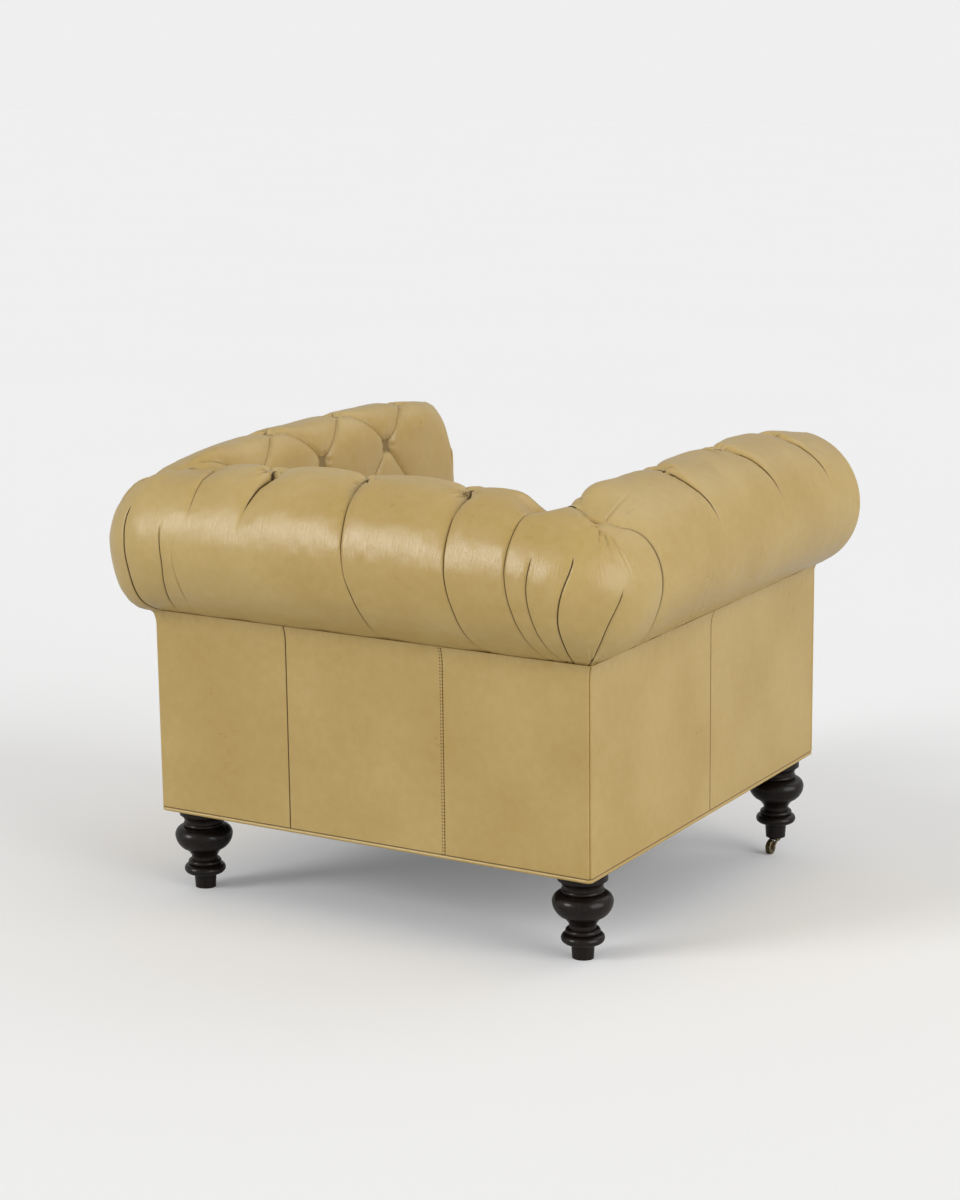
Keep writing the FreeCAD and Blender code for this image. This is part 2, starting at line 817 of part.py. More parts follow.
def dust_cover():
    """The black cloth under the seat, cut away round the leg plates."""
    x1 = frame_x - webbing_end_margin / 2
    y1 = frame_y - webbing_end_margin / 2
    sheet = box(-x1, x1, -y1, y1, frame_bottom - dust_cover_thickness, frame_bottom)
    plates = [mirrored(leg_plate(rear).fuse(leg_bolt(rear)), side)
              for rear in (1, -1) for side in SIDES.values()]
    return sheet.cut(plates)


def lengthways_webbing():
    pitch = 2 * post_inner_x / (lengthways_straps + 1)
    length_end = frame_y - webbing_end_margin
    straps = []
    for k in range(lengthways_straps):
        x = -post_inner_x + pitch * (k + 1)
        straps.append(box(x - webbing_width / 2, x + webbing_width / 2, -length_end, length_end,
                          rail_top, rail_top + webbing_thickness))
    return straps


def crossways_webbing():
    pitch = (rear_post_front() - front_post_back()) / (crossways_straps + 1)
    width_end = frame_x - webbing_end_margin
    straps = []
    for k in range(crossways_straps):
        y = front_post_back() + pitch * (k + 1)
        straps.append(box(-width_end, width_end, y - webbing_width / 2, y + webbing_width / 2,
                          rail_top + webbing_thickness, webbing_top))
    return straps


def leg_profile():
    """The turned leg's outline from its top to its foot, as edges in the XZ plane.

    Each turned member is its height, the radius at its lower end and, where it is
    round, the radius half way down it.
    """
    members = [
        (collar_height, collar_radius, None),
        (cove_height, collar_waist_radius, collar_radius * 0.86),
        (waist_height, collar_waist_radius, None),
        (bead_height, collar_waist_radius, bead_radius),
        (bulb_upper_height, bulb_radius, bulb_radius * 0.955),
        (bulb_lower_height, bulb_radius * 0.76, bulb_radius * 0.945),
        (taper_height, neck_radius, neck_radius * 1.22),
        (neck_height, neck_radius, None),
        (upper_bead_height, ring_radius * 0.72, upper_bead_radius * 0.98),
        (ring_height, ankle_radius + ring_shoulder_width, ring_radius),
        (ring_shoulder_height, ankle_radius, None),
    ]
    centre = Vector(0, 0, 0)
    top = Vector(0, 0, underside)
    here = Vector(collar_radius, 0, underside)
    edges = [line(top, here)]
    for height, radius, middle_radius in members:
        end = Vector(radius, 0, here.z - height)
        if middle_radius is None:
            edges.append(line(here, end))
        else:
            edges.append(arc(here, Vector(middle_radius, 0, here.z - height / 2), end))
        here = end
    foot = Vector(foot_radius, 0, 0)
    return edges + [line(here, foot), line(foot, centre), line(centre, top)]


def leg(front):
    """A turned leg with its bolt hole, and on the front legs the caster's bore."""
    body = Part.Face(Part.Wire(leg_profile())).revolve(Vector(0, 0, 0), Vector(0, 0, 1), 360)
    side = -1 if front else 1
    body.translate(Vector(leg_x, side * leg_y, 0))
    body = body.cut(leg_bolt(side))
    if front:
        return body.cut(socket_bore())
    return rear_foot_trimmed(body)


def rear_foot_trimmed(body):
    """Lengthens the rear foot a little and cuts it flat on the floor."""
    pitch = lean_back_angle()
    spare = 2 * foot_radius * math.sin(pitch) + 1
    extension = Part.makeCylinder(foot_radius, spare, Vector(leg_x, leg_y, -spare))
    body = body.fuse(extension)
    floor_block = box(-half_width, half_width, -half_depth, half_depth, -4 * spare, 0)
    floor_block.rotate(Vector(0, leg_y - foot_radius, 0), Vector(1, 0, 0), math.degrees(pitch))
    return body.cut(floor_block).removeSplitter()


def caster_point(y, z):
    """A place in a front leg's caster, from the foot's centre: y to the rear, z up."""
    return Vector(leg_x, -leg_y + y, z)


def socket_outer_radius():
    return stem_radius + stem_clearance + socket_wall


def socket_bore():
    return Part.makeCylinder(socket_outer_radius(), stem_length, caster_point(0, 0))


def caster_socket():
    """The sleeve pressed into the foot, with its flange under the wood."""
    sleeve = Part.makeCylinder(socket_outer_radius(), stem_length, caster_point(0, 0))
    flange = Part.makeCylinder(socket_flange_radius, socket_flange_thickness,
                               caster_point(0, -socket_flange_thickness))
    hole = Part.makeCylinder(stem_radius + stem_clearance, stem_length + socket_flange_thickness,
                             caster_point(0, -socket_flange_thickness))
    return sleeve.fuse(flange).cut(hole)


def axle_z():
    return wheel_radius - caster_rise


def cheek(x0):
    """One side of the swept fork, from the hub back and down to the axle."""
    top = -socket_flange_thickness - fork_gap
    boss = axle_boss_radius
    turn = math.radians(35)
    x = leg_x + x0
    origin_y = -leg_y
    hub = fork_hub_radius
    points = [Vector(x, origin_y - hub, top), Vector(x, origin_y + hub, top),
              Vector(x, origin_y + caster_trail + boss * math.sin(turn), axle_z() + boss * math.cos(turn)),
              Vector(x, origin_y + caster_trail - boss * math.sin(turn), axle_z() - boss * math.cos(turn)),
              Vector(x, origin_y - hub * 0.2, top - crown_thickness * 1.5),
              Vector(x, origin_y - hub, top - crown_thickness)]
    boss_rear = Vector(x, origin_y + caster_trail + boss * math.cos(turn), axle_z() - boss * math.sin(turn))
    sweep_middle = Vector(x, origin_y + caster_trail * 0.55, top - crown_thickness * 1.9)
    edges = [line(points[0], points[1]), line(points[1], points[2]),
             arc(points[2], boss_rear, points[3]),
             arc(points[3], sweep_middle, points[4]),
             line(points[4], points[5]), line(points[5], points[0])]
    plate = Part.Face(Part.Wire(edges)).extrude(Vector(cheek_thickness, 0, 0))
    return plate.cut(axle_cylinder(axle_radius, 4 * wheel_width))


def axle_cylinder(radius, length):
    start = caster_point(caster_trail, axle_z()).sub(Vector(length / 2, 0, 0))
    return Part.makeCylinder(radius, length, start, Vector(1, 0, 0))


def cheek_offset():
    return wheel_width / 2 + cheek_clearance


def caster_fork():
    """The swivelling fork: stem, crown and two cheeks."""
    top = -socket_flange_thickness - fork_gap
    outer = cheek_offset() + cheek_thickness
    hub = fork_hub_radius
    crown = box(leg_x - outer, leg_x + outer, -leg_y - hub, -leg_y + hub, top - crown_thickness, top)
    stem = Part.makeCylinder(stem_radius, stem_length - top - fork_gap, caster_point(0, top))
    fork = crown.fuse([cheek(cheek_offset()), cheek(-outer), stem])
    return fork.removeSplitter()


def caster_axle():
    """The axle pin with its two riveted heads."""
    outer = cheek_offset() + cheek_thickness
    pin = axle_cylinder(axle_radius, 2 * outer)
    start = caster_point(caster_trail, axle_z())
    right = Part.makeCylinder(axle_head_radius, axle_head_length, start.add(Vector(outer, 0, 0)), Vector(1, 0, 0))
    left = Part.makeCylinder(axle_head_radius, axle_head_length, start.sub(Vector(outer, 0, 0)), Vector(-1, 0, 0))
    return pin.fuse([left, right]).removeSplitter()


def caster_wheel():
    """The grooved wheel with its bore."""
    wheel = axle_cylinder(wheel_radius, wheel_width)
    rims = [edge for edge in wheel.Edges if abs(edge.Length - 2 * math.pi * wheel_radius) < 1e-3]
    wheel = wheel.makeFillet(wheel_edge_radius, rims)
    groove = axle_cylinder(wheel_radius + 1, wheel_groove_width)
    groove = groove.cut(axle_cylinder(wheel_radius - wheel_groove_depth, wheel_groove_width))
    grooves = []
    for share in (-1, 0, 1):
        ring = groove.copy()
        ring.translate(Vector(share * wheel_width / 4, 0, 0))
        grooves.append(ring)
    return wheel.cut(grooves + [axle_cylinder(axle_radius + axle_clearance, 2 * wheel_width)])


def lean_back_angle():
    """The chair's lean, in radians, that brings casters and rear feet to one floor."""
    wheel_y = leg_y - caster_trail
    rear_y = leg_y - foot_radius
    along = wheel_y + rear_y
    across = -axle_z()
    return math.asin(wheel_radius / math.hypot(along, across)) + math.atan2(across, along)


def lean_back(shape):
    """Leans a piece back with the whole chair and sets it on the floor."""
    pitch = lean_back_angle()
    moved = shape.copy()
    moved.rotate(Vector(0, 0, 0), Vector(1, 0, 0), -math.degrees(pitch))
    rear_floor = -(leg_y - foot_radius) * math.sin(pitch)
    moved.translate(Vector(0, 0, -rear_floor))
    return moved


def paired(nodes, name, shape):
    """Adds a left piece and its mirror image on the right as two nodes."""
    for side_name, side in SIDES.items():
        nodes[side_name + "_" + name] = mirrored(shape, side)


def group(shapes):
    return Part.makeCompound(shapes)


def both_sides(shapes):
    return group([mirrored(shape, side) for side in SIDES.values() for shape in shapes])


def frame_nodes(nodes):
    nodes["front_seat_rail"] = front_rail()
    nodes["rear_seat_rail"] = rear_rail()
    paired(nodes, "seat_rail", side_rail())
    nodes["corner_blocks"] = both_sides([corner_block(True), corner_block(False)])
    paired(nodes, "front_post", front_post())
    paired(nodes, "rear_post", rear_post())
    paired(nodes, "arm_top_rail", arm_top_rail())
    nodes["back_top_rail"] = back_top_rail()
    paired(nodes, "arm_tack_rail", arm_tack_rail())
    nodes["back_tack_rail"] = back_tack_rail()
    paired(nodes, "scroll_board", scroll_board())


def seat_nodes(nodes):
    nodes["lengthways_webbing"] = group(lengthways_webbing())
    nodes["crossways_webbing"] = group(crossways_webbing())
    nodes["hessian_deck"] = hessian_deck()
    nodes["deck_pad"] = deck_pad()
    nodes["front_border"] = front_border()
    nodes["seat_cushion_cover"] = cushion_cover()
    nodes["seat_cushion_core"] = cushion_core()


def padding_nodes(nodes):
    left_arm = arm_padding()
    arms = [mirrored(left_arm, side) for side in SIDES.values()]
    nodes["left_arm_padding"], nodes["right_arm_padding"] = arms
    nodes["back_padding"] = back_padding(arms)
    paired(nodes, "rear_corner_roll", corner_padding())
    arm_buttons = group(button_shapes(arm_rows(), arm_lean_degrees, arm_place))
    paired(nodes, "arm_buttons", arm_buttons)
    nodes["back_buttons"] = group(button_shapes(back_rows(), back_lean_degrees, back_place))


def panel_nodes(nodes):
    paired(nodes, "front_outside_arm_panel", side_panel(-frame_y, 0))
    paired(nodes, "rear_outside_arm_panel", side_panel(0, half_depth))
    nodes["left_outside_back_panel"] = back_panel(back_seam_offset, half_width)
    nodes["middle_outside_back_panel"] = back_panel(-back_seam_offset, back_seam_offset)
    nodes["right_outside_back_panel"] = back_panel(-half_width, -back_seam_offset)
    paired(nodes, "arm_facing", arm_facing())
    paired(nodes, "arm_facing_welt", facing_welt())
    nodes["bottom_welt"] = bottom_welt()
    nodes["dust_cover"] = dust_cover()


def leg_nodes(nodes):
    paired(nodes, "front_leg", leg(True))
    paired(nodes, "rear_leg", leg(False))
    nodes["leg_plates"] = both_sides([leg_plate(1), leg_plate(-1)])
    nodes["leg_bolts"] = both_sides([leg_bolt(1), leg_bolt(-1)])
    paired(nodes, "caster_socket", caster_socket())
    paired(nodes, "caster_fork", caster_fork())
    paired(nodes, "caster_axle", caster_axle())
    paired(nodes, "caster_wheel", caster_wheel())


def chair_nodes():
    """Every piece of the chair by name, leaned back and centred over its origin.

    The frontmost piece is the welt at the foot and the rearmost is the back's roll.
    """
    level = {}
    frame_nodes(level)
    seat_nodes(level)
    padding_nodes(level)
    panel_nodes(level)
    leg_nodes(level)
    leaned = {name: lean_back(shape) for name, shape in level.items()}
    front = leaned["bottom_welt"].optimalBoundingBox(False, False).YMin
    rear = leaned["back_padding"].optimalBoundingBox(False, False).YMax
    shift = Vector(0, -(front + rear) / 2, 0)
    for shape in leaned.values():
        shape.translate(shift)
    return leaned


if __name__ == "__main__":
    os.makedirs("parts", exist_ok=True)
    for node, piece in chair_nodes().items():
        piece.exportStep("parts/" + node + ".step")
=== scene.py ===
import json
import math
import bmesh
import bpy
import numpy as np
from mathutils import Matrix, Vector


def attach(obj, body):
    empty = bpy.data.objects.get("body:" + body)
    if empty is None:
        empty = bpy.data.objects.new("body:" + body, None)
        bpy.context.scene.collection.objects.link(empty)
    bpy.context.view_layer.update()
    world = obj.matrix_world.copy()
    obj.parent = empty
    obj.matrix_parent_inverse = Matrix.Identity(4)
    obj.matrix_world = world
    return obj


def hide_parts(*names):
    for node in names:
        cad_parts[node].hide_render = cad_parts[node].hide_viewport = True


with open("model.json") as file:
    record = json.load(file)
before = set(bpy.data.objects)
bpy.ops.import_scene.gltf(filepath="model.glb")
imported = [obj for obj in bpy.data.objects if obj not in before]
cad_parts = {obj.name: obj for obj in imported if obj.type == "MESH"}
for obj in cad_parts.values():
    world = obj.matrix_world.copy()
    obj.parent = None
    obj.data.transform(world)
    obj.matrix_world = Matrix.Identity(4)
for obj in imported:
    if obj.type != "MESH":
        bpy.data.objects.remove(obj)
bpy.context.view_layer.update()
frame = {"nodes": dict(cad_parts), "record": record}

# A tufted leather chair seen from behind. Metres. Shapes are worked out on the level
# chair, with the sitter facing -Y, and then leaned back with it onto its casters.

# The chair's body, with its back seam on one side and only a line on the other
half_width = 0.430
half_depth = 0.435
seam_height = 0.158
panel_thickness = 0.008
back_seam = 0.153
panel_seam = 0.155
stitch_gap = 0.0021
stitch_pitch = 0.0056
leg_inset_x = 0.047
leg_inset_y = 0.059

# The padded rolls. Along them s runs from the back's middle, negative on the sitter's right.
# Across them q runs from the crest, negative down the outside, and u is level and outwards.
roll_radius = 0.125
roll_crest = 0.760
crest_u = 0.005
core_x = 0.388
core_y = 0.393
corner_radius = 0.130
shoulder_radius = 0.048
arm_lean = math.radians(2.4)
back_lean = math.radians(12)
deck_height = 0.300
skin_front = -0.4285
mitre_overlap = 0.012
hem_drop = 0.0022

# How much taller the rolls stand between their ends, and how an arm slopes in at its front
arm_crest_rise = 0.026
back_crest_rise = 0.021
scroll_crest_shift = 0.020
scroll_shoulder_drop = 0.140
front_lobe = 0.1235

# Low places of the back's crest beside its corners, and a fuller one behind each arm's last pleat
end_dip = 0.027
near_dip_place = -0.325
far_dip_place = 0.335
rear_swell = 0.012
rear_swell_place = 0.665

# Buttons and pleats. Between the two heights of seat_line the buttoned relief begins.
seat_line = (0.425, 0.475)
arm_pleats = (-0.305, -0.090, 0.125)
arm_pitch = 0.215
back_pitch = 0.194
row_pitch = 0.100
crest_button_depth = 0.0155
button_top = 0.0082
button_reach = 0.0115
first_row = 0.088
rows_per_lobe = 28
outer_rows = 92
crest_rows = 40
crest_band = 0.060
tail_rows = 30
# Widths of the painted shade along the pleats' folds and along the arm's deep pleat, wider low on the arm
pleat_line = 0.0014
edge_line = 0.0014
shaded_edge_line = 0.0070

roll_centre = roll_crest - roll_radius
shoulder_z = roll_crest - shoulder_radius
face_u = half_width - core_x
roll_foot_turn = math.pi / 2 + math.acos((face_u - crest_u) / roll_radius)
roll_length = roll_radius * roll_foot_turn
roll_base = roll_centre - math.sqrt(roll_radius ** 2 - (face_u - crest_u) ** 2)
corner_arc = corner_radius * math.pi / 2
inner_u = crest_u - shoulder_radius
button_rows = (0.0, first_row, first_row + row_pitch, first_row + 2 * row_pitch)

# How the chair stands: leaned back about X and moved to its own origin
joints = {joint["name"]: joint for joint in frame["record"]["behaviour"]["joints"]}
up_axis = joints["seat_cushion_lift"]["axis"]
lean_back = Matrix.Rotation(-math.atan2(up_axis[1], up_axis[2]), 4, "X")
leg_foot = lean_back @ Vector((half_width - leg_inset_x, leg_inset_y - half_depth, 0))
stand = Matrix.Translation(Vector(joints["left_caster_turn"]["pos_m"]) - leg_foot) @ lean_back


# Small helpers

def smooth(values, start, end):
    """0 before start, 1 after end, and an even rise between."""
    share = np.clip((values - start) / (end - start), 0, 1)
    return share * share * (3 - 2 * share)


def peak(values, middle, width):
    """1 at the middle, and falling like a bell to both sides."""
    return np.exp(-((values - middle) / width) ** 2)


def softened(values, passes):
    """Rounds the bends of a row of numbers."""
    for _ in range(passes):
        padded = np.concatenate([values[:1], values, values[-1:]])
        values = 0.25 * padded[:-2] + 0.5 * padded[1:-1] + 0.25 * padded[2:]
    return values


def wander(a, b, pitch, seed):
    """Even, seeded unevenness from -1 to 1 over two coordinates, with hills of one pitch."""
    random = np.random.default_rng(seed)
    hills = random.uniform(-1, 1, (97, 97))
    x = np.mod(a / pitch + 31.7, 96)
    y = np.mod(b / pitch + 47.3, 96)
    i = x.astype(int)
    j = y.astype(int)
    fx = smooth(x - i, 0, 1)
    fy = smooth(y - j, 0, 1)
    low = hills[i, j] * (1 - fx) + hills[i + 1, j] * fx
    high = hills[i, j + 1] * (1 - fx) + hills[i + 1, j + 1] * fx
    return low * (1 - fy) + high * fy


def link(name, data):
    piece = bpy.data.objects.new(name, data)
    bpy.context.collection.objects.link(piece)
    return piece


def mesh_of(name, bm):
    mesh = bpy.data.meshes.new(name)
    bm.to_mesh(mesh)
    bm.free()
    return mesh


def bmesh_of(mesh):
    bm = bmesh.new()
    bm.from_mesh(mesh)
    bm.verts.ensure_lookup_table()
    return bm


def grid(points):
    """A bmesh over rows and columns of points."""
    rows, columns = points.shape[:2]
    bm = bmesh.new()
    bmesh.ops.create_grid(bm, x_segments=columns - 1, y_segments=rows - 1, size=1)
    for vert, place in zip(bm.verts, points.reshape(-1, 3)):
        vert.co = place
    return bm


def finish_mesh(name, bm, body, material):
    """Makes a piece of a bmesh in its place on the leaned chair."""
    bmesh.ops.transform(bm, matrix=stand, verts=bm.verts)
    mesh = mesh_of(name, bm)
    mesh.shade_smooth()
    mesh.materials.append(material)
    piece = link(name, mesh)
    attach(piece, body)
    return piece


# Shader helpers

def feed(tree, socket, value):
    """Stores a plain value in an input, or links another node's output to it."""
    if isinstance(value, bpy.types.NodeSocket):
        tree.links.new(value, socket)
    else:
        socket.default_value = value


def set_inputs(tree, node, **values):
    """Feeds a node's inputs, which are named as keywords."""
    for key, value in values.items():
        feed(tree, node.inputs[key.replace("_", " ").title().replace("Ior", "IOR")], value)
    return node


def add(tree, kind, **values):
    return set_inputs(tree, tree.nodes.new(kind), **values)


def coordinates(tree, kind):
    return tree.nodes.new("ShaderNodeTexCoord").outputs[kind]


def painted(tree, name):
    """A number that the mesh carries at each of its points."""
    node = tree.nodes.new("ShaderNodeAttribute")
    node.attribute_name = name
    return node.outputs["Fac"]


def math_node(tree, operation, first, *others):
    """The result of one math node, or of a chain of them over more than two values."""
    for second in others or (0.5,):
        node = tree.nodes.new("ShaderNodeMath")
        node.operation = operation
        feed(tree, node.inputs[0], first)
        feed(tree, node.inputs[1], second)
        first = node.outputs[0]
    return first


def ramp(tree, value, start, end, low=0.0, high=1.0):
    """Maps a value between two ends to another range, with an even rise."""
    node = add(tree, "ShaderNodeMapRange", value=value, from_min=start, from_max=end,
               to_min=low, to_max=high)
    node.interpolation_type = "SMOOTHSTEP"
    return node.outputs["Result"]


def mix_colour(tree, share, first, second):
    node = tree.nodes.new("ShaderNodeMix")
    node.data_type = "RGBA"
    return set_inputs(tree, node, factor=share, a=first, b=second).outputs["Result"]


def retoned(tree, colour, hue, saturation, value):
    node = add(tree, "ShaderNodeHueSaturation", color=colour, hue=hue, saturation=saturation, value=value)
    return node.outputs["Color"]


def mapped(tree, vector, scale):
    return add(tree, "ShaderNodeMapping", vector=vector, scale=scale).outputs["Vector"]


def noise(tree, vector, scale, detail=2.0, roughness=0.5):
    node = add(tree, "ShaderNodeTexNoise", vector=vector, scale=scale, detail=detail, roughness=roughness)
    return node.outputs["Fac"]


def bump(tree, height, strength, distance):
    node = add(tree, "ShaderNodeBump", height=height, strength=strength, distance=distance)
    return node.outputs["Normal"]


def new_group(name, inputs, outputs):
    """A shader node group with its named sockets and its two end nodes."""
    group = bpy.data.node_groups.new(name, "ShaderNodeTree")
    for label, kind, default in inputs:
        socket = group.interface.new_socket(name=label, in_out="INPUT", socket_type=kind)
        socket.default_value = default
    for label, kind in outputs:
        group.interface.new_socket(name=label, in_out="OUTPUT", socket_type=kind)
    return group, group.nodes.new("NodeGroupInput"), group.nodes.new("NodeGroupOutput")


def use_group(tree, group, **values):
    node = tree.nodes.new("ShaderNodeGroup")
    node.node_tree = group
    return set_inputs(tree, node, **values).outputs


def principled(name, **values):
    """A new material with its shader, whose inputs are named as keywords."""
    material = bpy.data.materials.new(name)
    material.use_nodes = True
    tree = material.node_tree
    return material, tree, set_inputs(tree, tree.nodes["Principled BSDF"], **values)


# Finishes

leather_specular = 0.52
pebbles_per_metre = 620.0
pores_per_metre = 1500.0
wrinkles_per_metre = (260.0, 26.0, 1.0)
puckers_per_metre = (110.0, 110.0, 14.0)


def leather_group():
    """Colour, roughness and grain of aniline leather: cloudy dye, pebbles, wrinkles, and painted shade in
    its creases, folds and button pits.
    """
    group, start, end = new_group(
        "leather_grain",
        [("Colour", "NodeSocketColor", (0.5, 0.37, 0.15, 1)),
         ("Deep Colour", "NodeSocketColor", (0.1, 0.06, 0.02, 1)),
         ("Grain", "NodeSocketFloat", 1.0)],
        [("Colour", "NodeSocketColor"), ("Roughness", "NodeSocketFloat"), ("Height", "NodeSocketFloat")])
    plain = start.outputs["Colour"]
    places = coordinates(group, "Object")
    cloudy = noise(group, places, 5.0, 3.0)
    mottled = noise(group, places, 60.0, 3.0, 0.6)
    # The crease shade mask marks where dark shade is painted into creases, folds and button pits.
    crease_shade = ramp(group, painted(group, "crease_shade"), 0.15, 0.95)

    shaded = retoned(group, plain, 0.497, 1.06, 0.90)
    clouded = mix_colour(group, ramp(group, cloudy, 0.3, 0.7), shaded, plain)
    speckled = retoned(group, clouded, 0.5, 0.97, 1.035)
    dyed = mix_colour(group, ramp(group, mottled, 0.35, 0.65), clouded, speckled)
    worn = mix_colour(group, painted(group, "stretch"), dyed, retoned(group, dyed, 0.5, 0.93, 1.06))
    colour = mix_colour(group, crease_shade, worn, start.outputs["Deep Colour"])

    polish = ramp(group, cloudy, 0.3, 0.75, 0.29, 0.35)
    dull = ramp(group, mottled, 0.3, 0.7, -0.02, 0.03)
    roughness = math_node(group, "ADD", polish, dull, math_node(group, "MULTIPLY", crease_shade, 0.65))

    cells = add(group, "ShaderNodeTexVoronoi", vector=places, scale=pebbles_per_metre).outputs["Distance"]
    pebbles = math_node(group, "MULTIPLY", ramp(group, cells, 0.0, 0.75, 1.0, 0.0), 0.6)
    fine = math_node(group, "MULTIPLY", noise(group, places, pores_per_metre), 0.4)
    along_roll = mapped(group, coordinates(group, "UV"), wrinkles_per_metre)
    wrinkles = ramp(group, noise(group, along_roll, 1.0, 3.0, 0.55), 0.3, 0.7)
    wrinkles = math_node(group, "MULTIPLY", wrinkles, painted(group, "wrinkle"), 2.2)
    height = math_node(group, "ADD", pebbles, fine, wrinkles)
    height = math_node(group, "MULTIPLY", height, start.outputs["Grain"])
    set_inputs(group, end, colour=colour, roughness=roughness, height=height)
    return group


grain_group = leather_group()


def leather_material(name, colour, grain=1.0):
    material, tree, shader = principled(name, specular_ior_level=leather_specular)
    red, green, blue = colour
    # The crease shade colour is painted shade: the leather's colour darkened to a deep brown.
    dye = use_group(tree, grain_group, colour=(*colour, 1), grain=grain,
                    deep_colour=(red * 0.11, green * 0.08, blue * 0.05, 1))
    set_inputs(tree, shader, base_color=dye["Colour"], roughness=dye["Roughness"],
               normal=bump(tree, dye["Height"], 0.35, 0.0003))
    return material


def panel_group():
    """The outside panels' stitches and seam lines as painted shade in their holes and gaps, puckers under
    the roll and a dark line at the foot.
    """
    marks = [("Dark", "NodeSocketFloat"), ("Height", "NodeSocketFloat")]
    group, _, end = new_group("panel_marks", [], marks)
    to_level = stand.inverted()
    level = add(group, "ShaderNodeMapping", vector=coordinates(group, "Object"),
                location=to_level.to_translation(), rotation=to_level.to_euler())
    level = level.outputs["Vector"]
    parts = add(group, "ShaderNodeSeparateXYZ", vector=level).outputs

    # Two rows of stitches beside the back seam, darkened as painted shade in their holes
    across = math_node(group, "ABSOLUTE", math_node(group, "ADD", parts["X"], back_seam))
    beside = math_node(group, "ABSOLUTE", math_node(group, "SUBTRACT", across, stitch_gap))
    row = ramp(group, beside, 0.0007, 0.0014, 1.0, 0.0)
    step = math_node(group, "FRACT", math_node(group, "DIVIDE", parts["Z"], stitch_pitch))
    from_middle = math_node(group, "ABSOLUTE", math_node(group, "SUBTRACT", step, 0.5))
    stitch = math_node(group, "MULTIPLY", row, ramp(group, from_middle, 0.16, 0.26, 1.0, 0.0))

    foot_line = ramp(group, parts["Z"], seam_height + 0.0006, seam_height + 0.0022, 1.0, 0.0)
    # Painted shade along the back's plain seam and the arms' seams
    beyond = math_node(group, "ABSOLUTE", math_node(group, "SUBTRACT", parts["X"], panel_seam))
    along_arm = math_node(group, "ABSOLUTE", parts["Y"])
    seam_line = ramp(group, math_node(group, "MINIMUM", beyond, along_arm), 0.0007, 0.0017, 0.85, 0.0)
    dark = math_node(group, "MAXIMUM", stitch, seam_line, foot_line)

    gathers = noise(group, mapped(group, level, puckers_per_metre), 1.0)
    near_top = ramp(group, parts["Z"], roll_base - 0.045, roll_base - 0.004)
    puckers = math_node(group, "MULTIPLY", gathers, near_top, 1.8)
    slack = math_node(group, "MULTIPLY", noise(group, level, 7.0), 1.2)
    height = math_node(group, "ADD", puckers, slack)
    height = math_node(group, "SUBTRACT", height, math_node(group, "MULTIPLY", stitch, 0.5))
    set_inputs(group, end, dark=dark, height=height)
    return group


def panel_material(name, colour):
    """The leather of the outside panels, with the painted shade of their stitches and seams and a dark foot
    line over its grain.
    """
    material = leather_material(name, colour, 0.8)
    tree = material.node_tree
    shader = tree.nodes["Principled BSDF"]
    marks = use_group(tree, panel_group())
    plain = shader.inputs["Base Color"].links[0].from_socket
    grain = shader.inputs["Normal"].links[0].from_node
    # The dark brown is painted shade at the stitches and seams, and also colours the line at the foot.
    set_inputs(tree, shader, base_color=mix_colour(tree, marks["Dark"], plain, (0.13, 0.072, 0.026, 1)))
    set_inputs(tree, grain, normal=bump(tree, marks["Height"], 0.6, 0.0018))
    return material


def wood_material(name, colour, dark_colour, coat, roughness, scale):
    """Timber with its grain along Z, under as much lacquer as coat says."""
    material, tree, shader = principled(name, coat_weight=coat, coat_roughness=0.04, specular_ior_level=0.2)
    places = mapped(tree, coordinates(tree, "Object"), (scale, scale, scale * 0.12))
    grain = noise(tree, places, 1.0, 5.0, 0.65)
    share = ramp(tree, grain, 0.35, 0.65)
    set_inputs(tree, shader, base_color=mix_colour(tree, share, (*dark_colour, 1), (*colour, 1)),
               roughness=ramp(tree, grain, 0.3, 0.7, roughness, roughness + 0.1),
               normal=bump(tree, grain, 0.12, 0.0004))
    return material


def metal_material(name, colour, dark_colour, roughness):
    """Brass or steel with darker patches and fine scratches."""
    material, tree, shader = principled(name, metallic=1.0)
    places = coordinates(tree, "Object")
    patches = noise(tree, places, 180.0, 4.0, 0.6)
    share = ramp(tree, patches, 0.35, 0.7)
    set_inputs(tree, shader, base_color=mix_colour(tree, share, (*colour, 1), (*dark_colour, 1)),
               roughness=ramp(tree, patches, 0.3, 0.7, roughness, roughness + 0.2),
               normal=bump(tree, noise(tree, places, 1400.0), 0.15, 0.0002))
    return material


def cloth_material(name, colour, dark_colour, threads_per_metre):
    """A plain weave: threads over and under along X and Y."""
    material, tree, shader = principled(name, roughness=0.9)
    places = coordinates(tree, "Object")
    parts = add(tree, "ShaderNodeSeparateXYZ", vector=places).outputs
    waves = []
    for axis in ("X", "Y"):
        angle = math_node(tree, "MULTIPLY", parts[axis], threads_per_metre * math.pi)
        waves.append(math_node(tree, "ABSOLUTE", math_node(tree, "SINE", angle)))
    weave = math_node(tree, "MULTIPLY", *waves)
    uneven = ramp(tree, noise(tree, places, 40.0, 3.0), 0.2, 0.8, 0.7, 1.0)
    share = math_node(tree, "MULTIPLY", ramp(tree, weave, 0.0, 0.6), uneven)
    set_inputs(tree, shader, base_color=mix_colour(tree, share, (*dark_colour, 1), (*colour, 1)),
               normal=bump(tree, weave, 0.5, 0.0006))
    return material


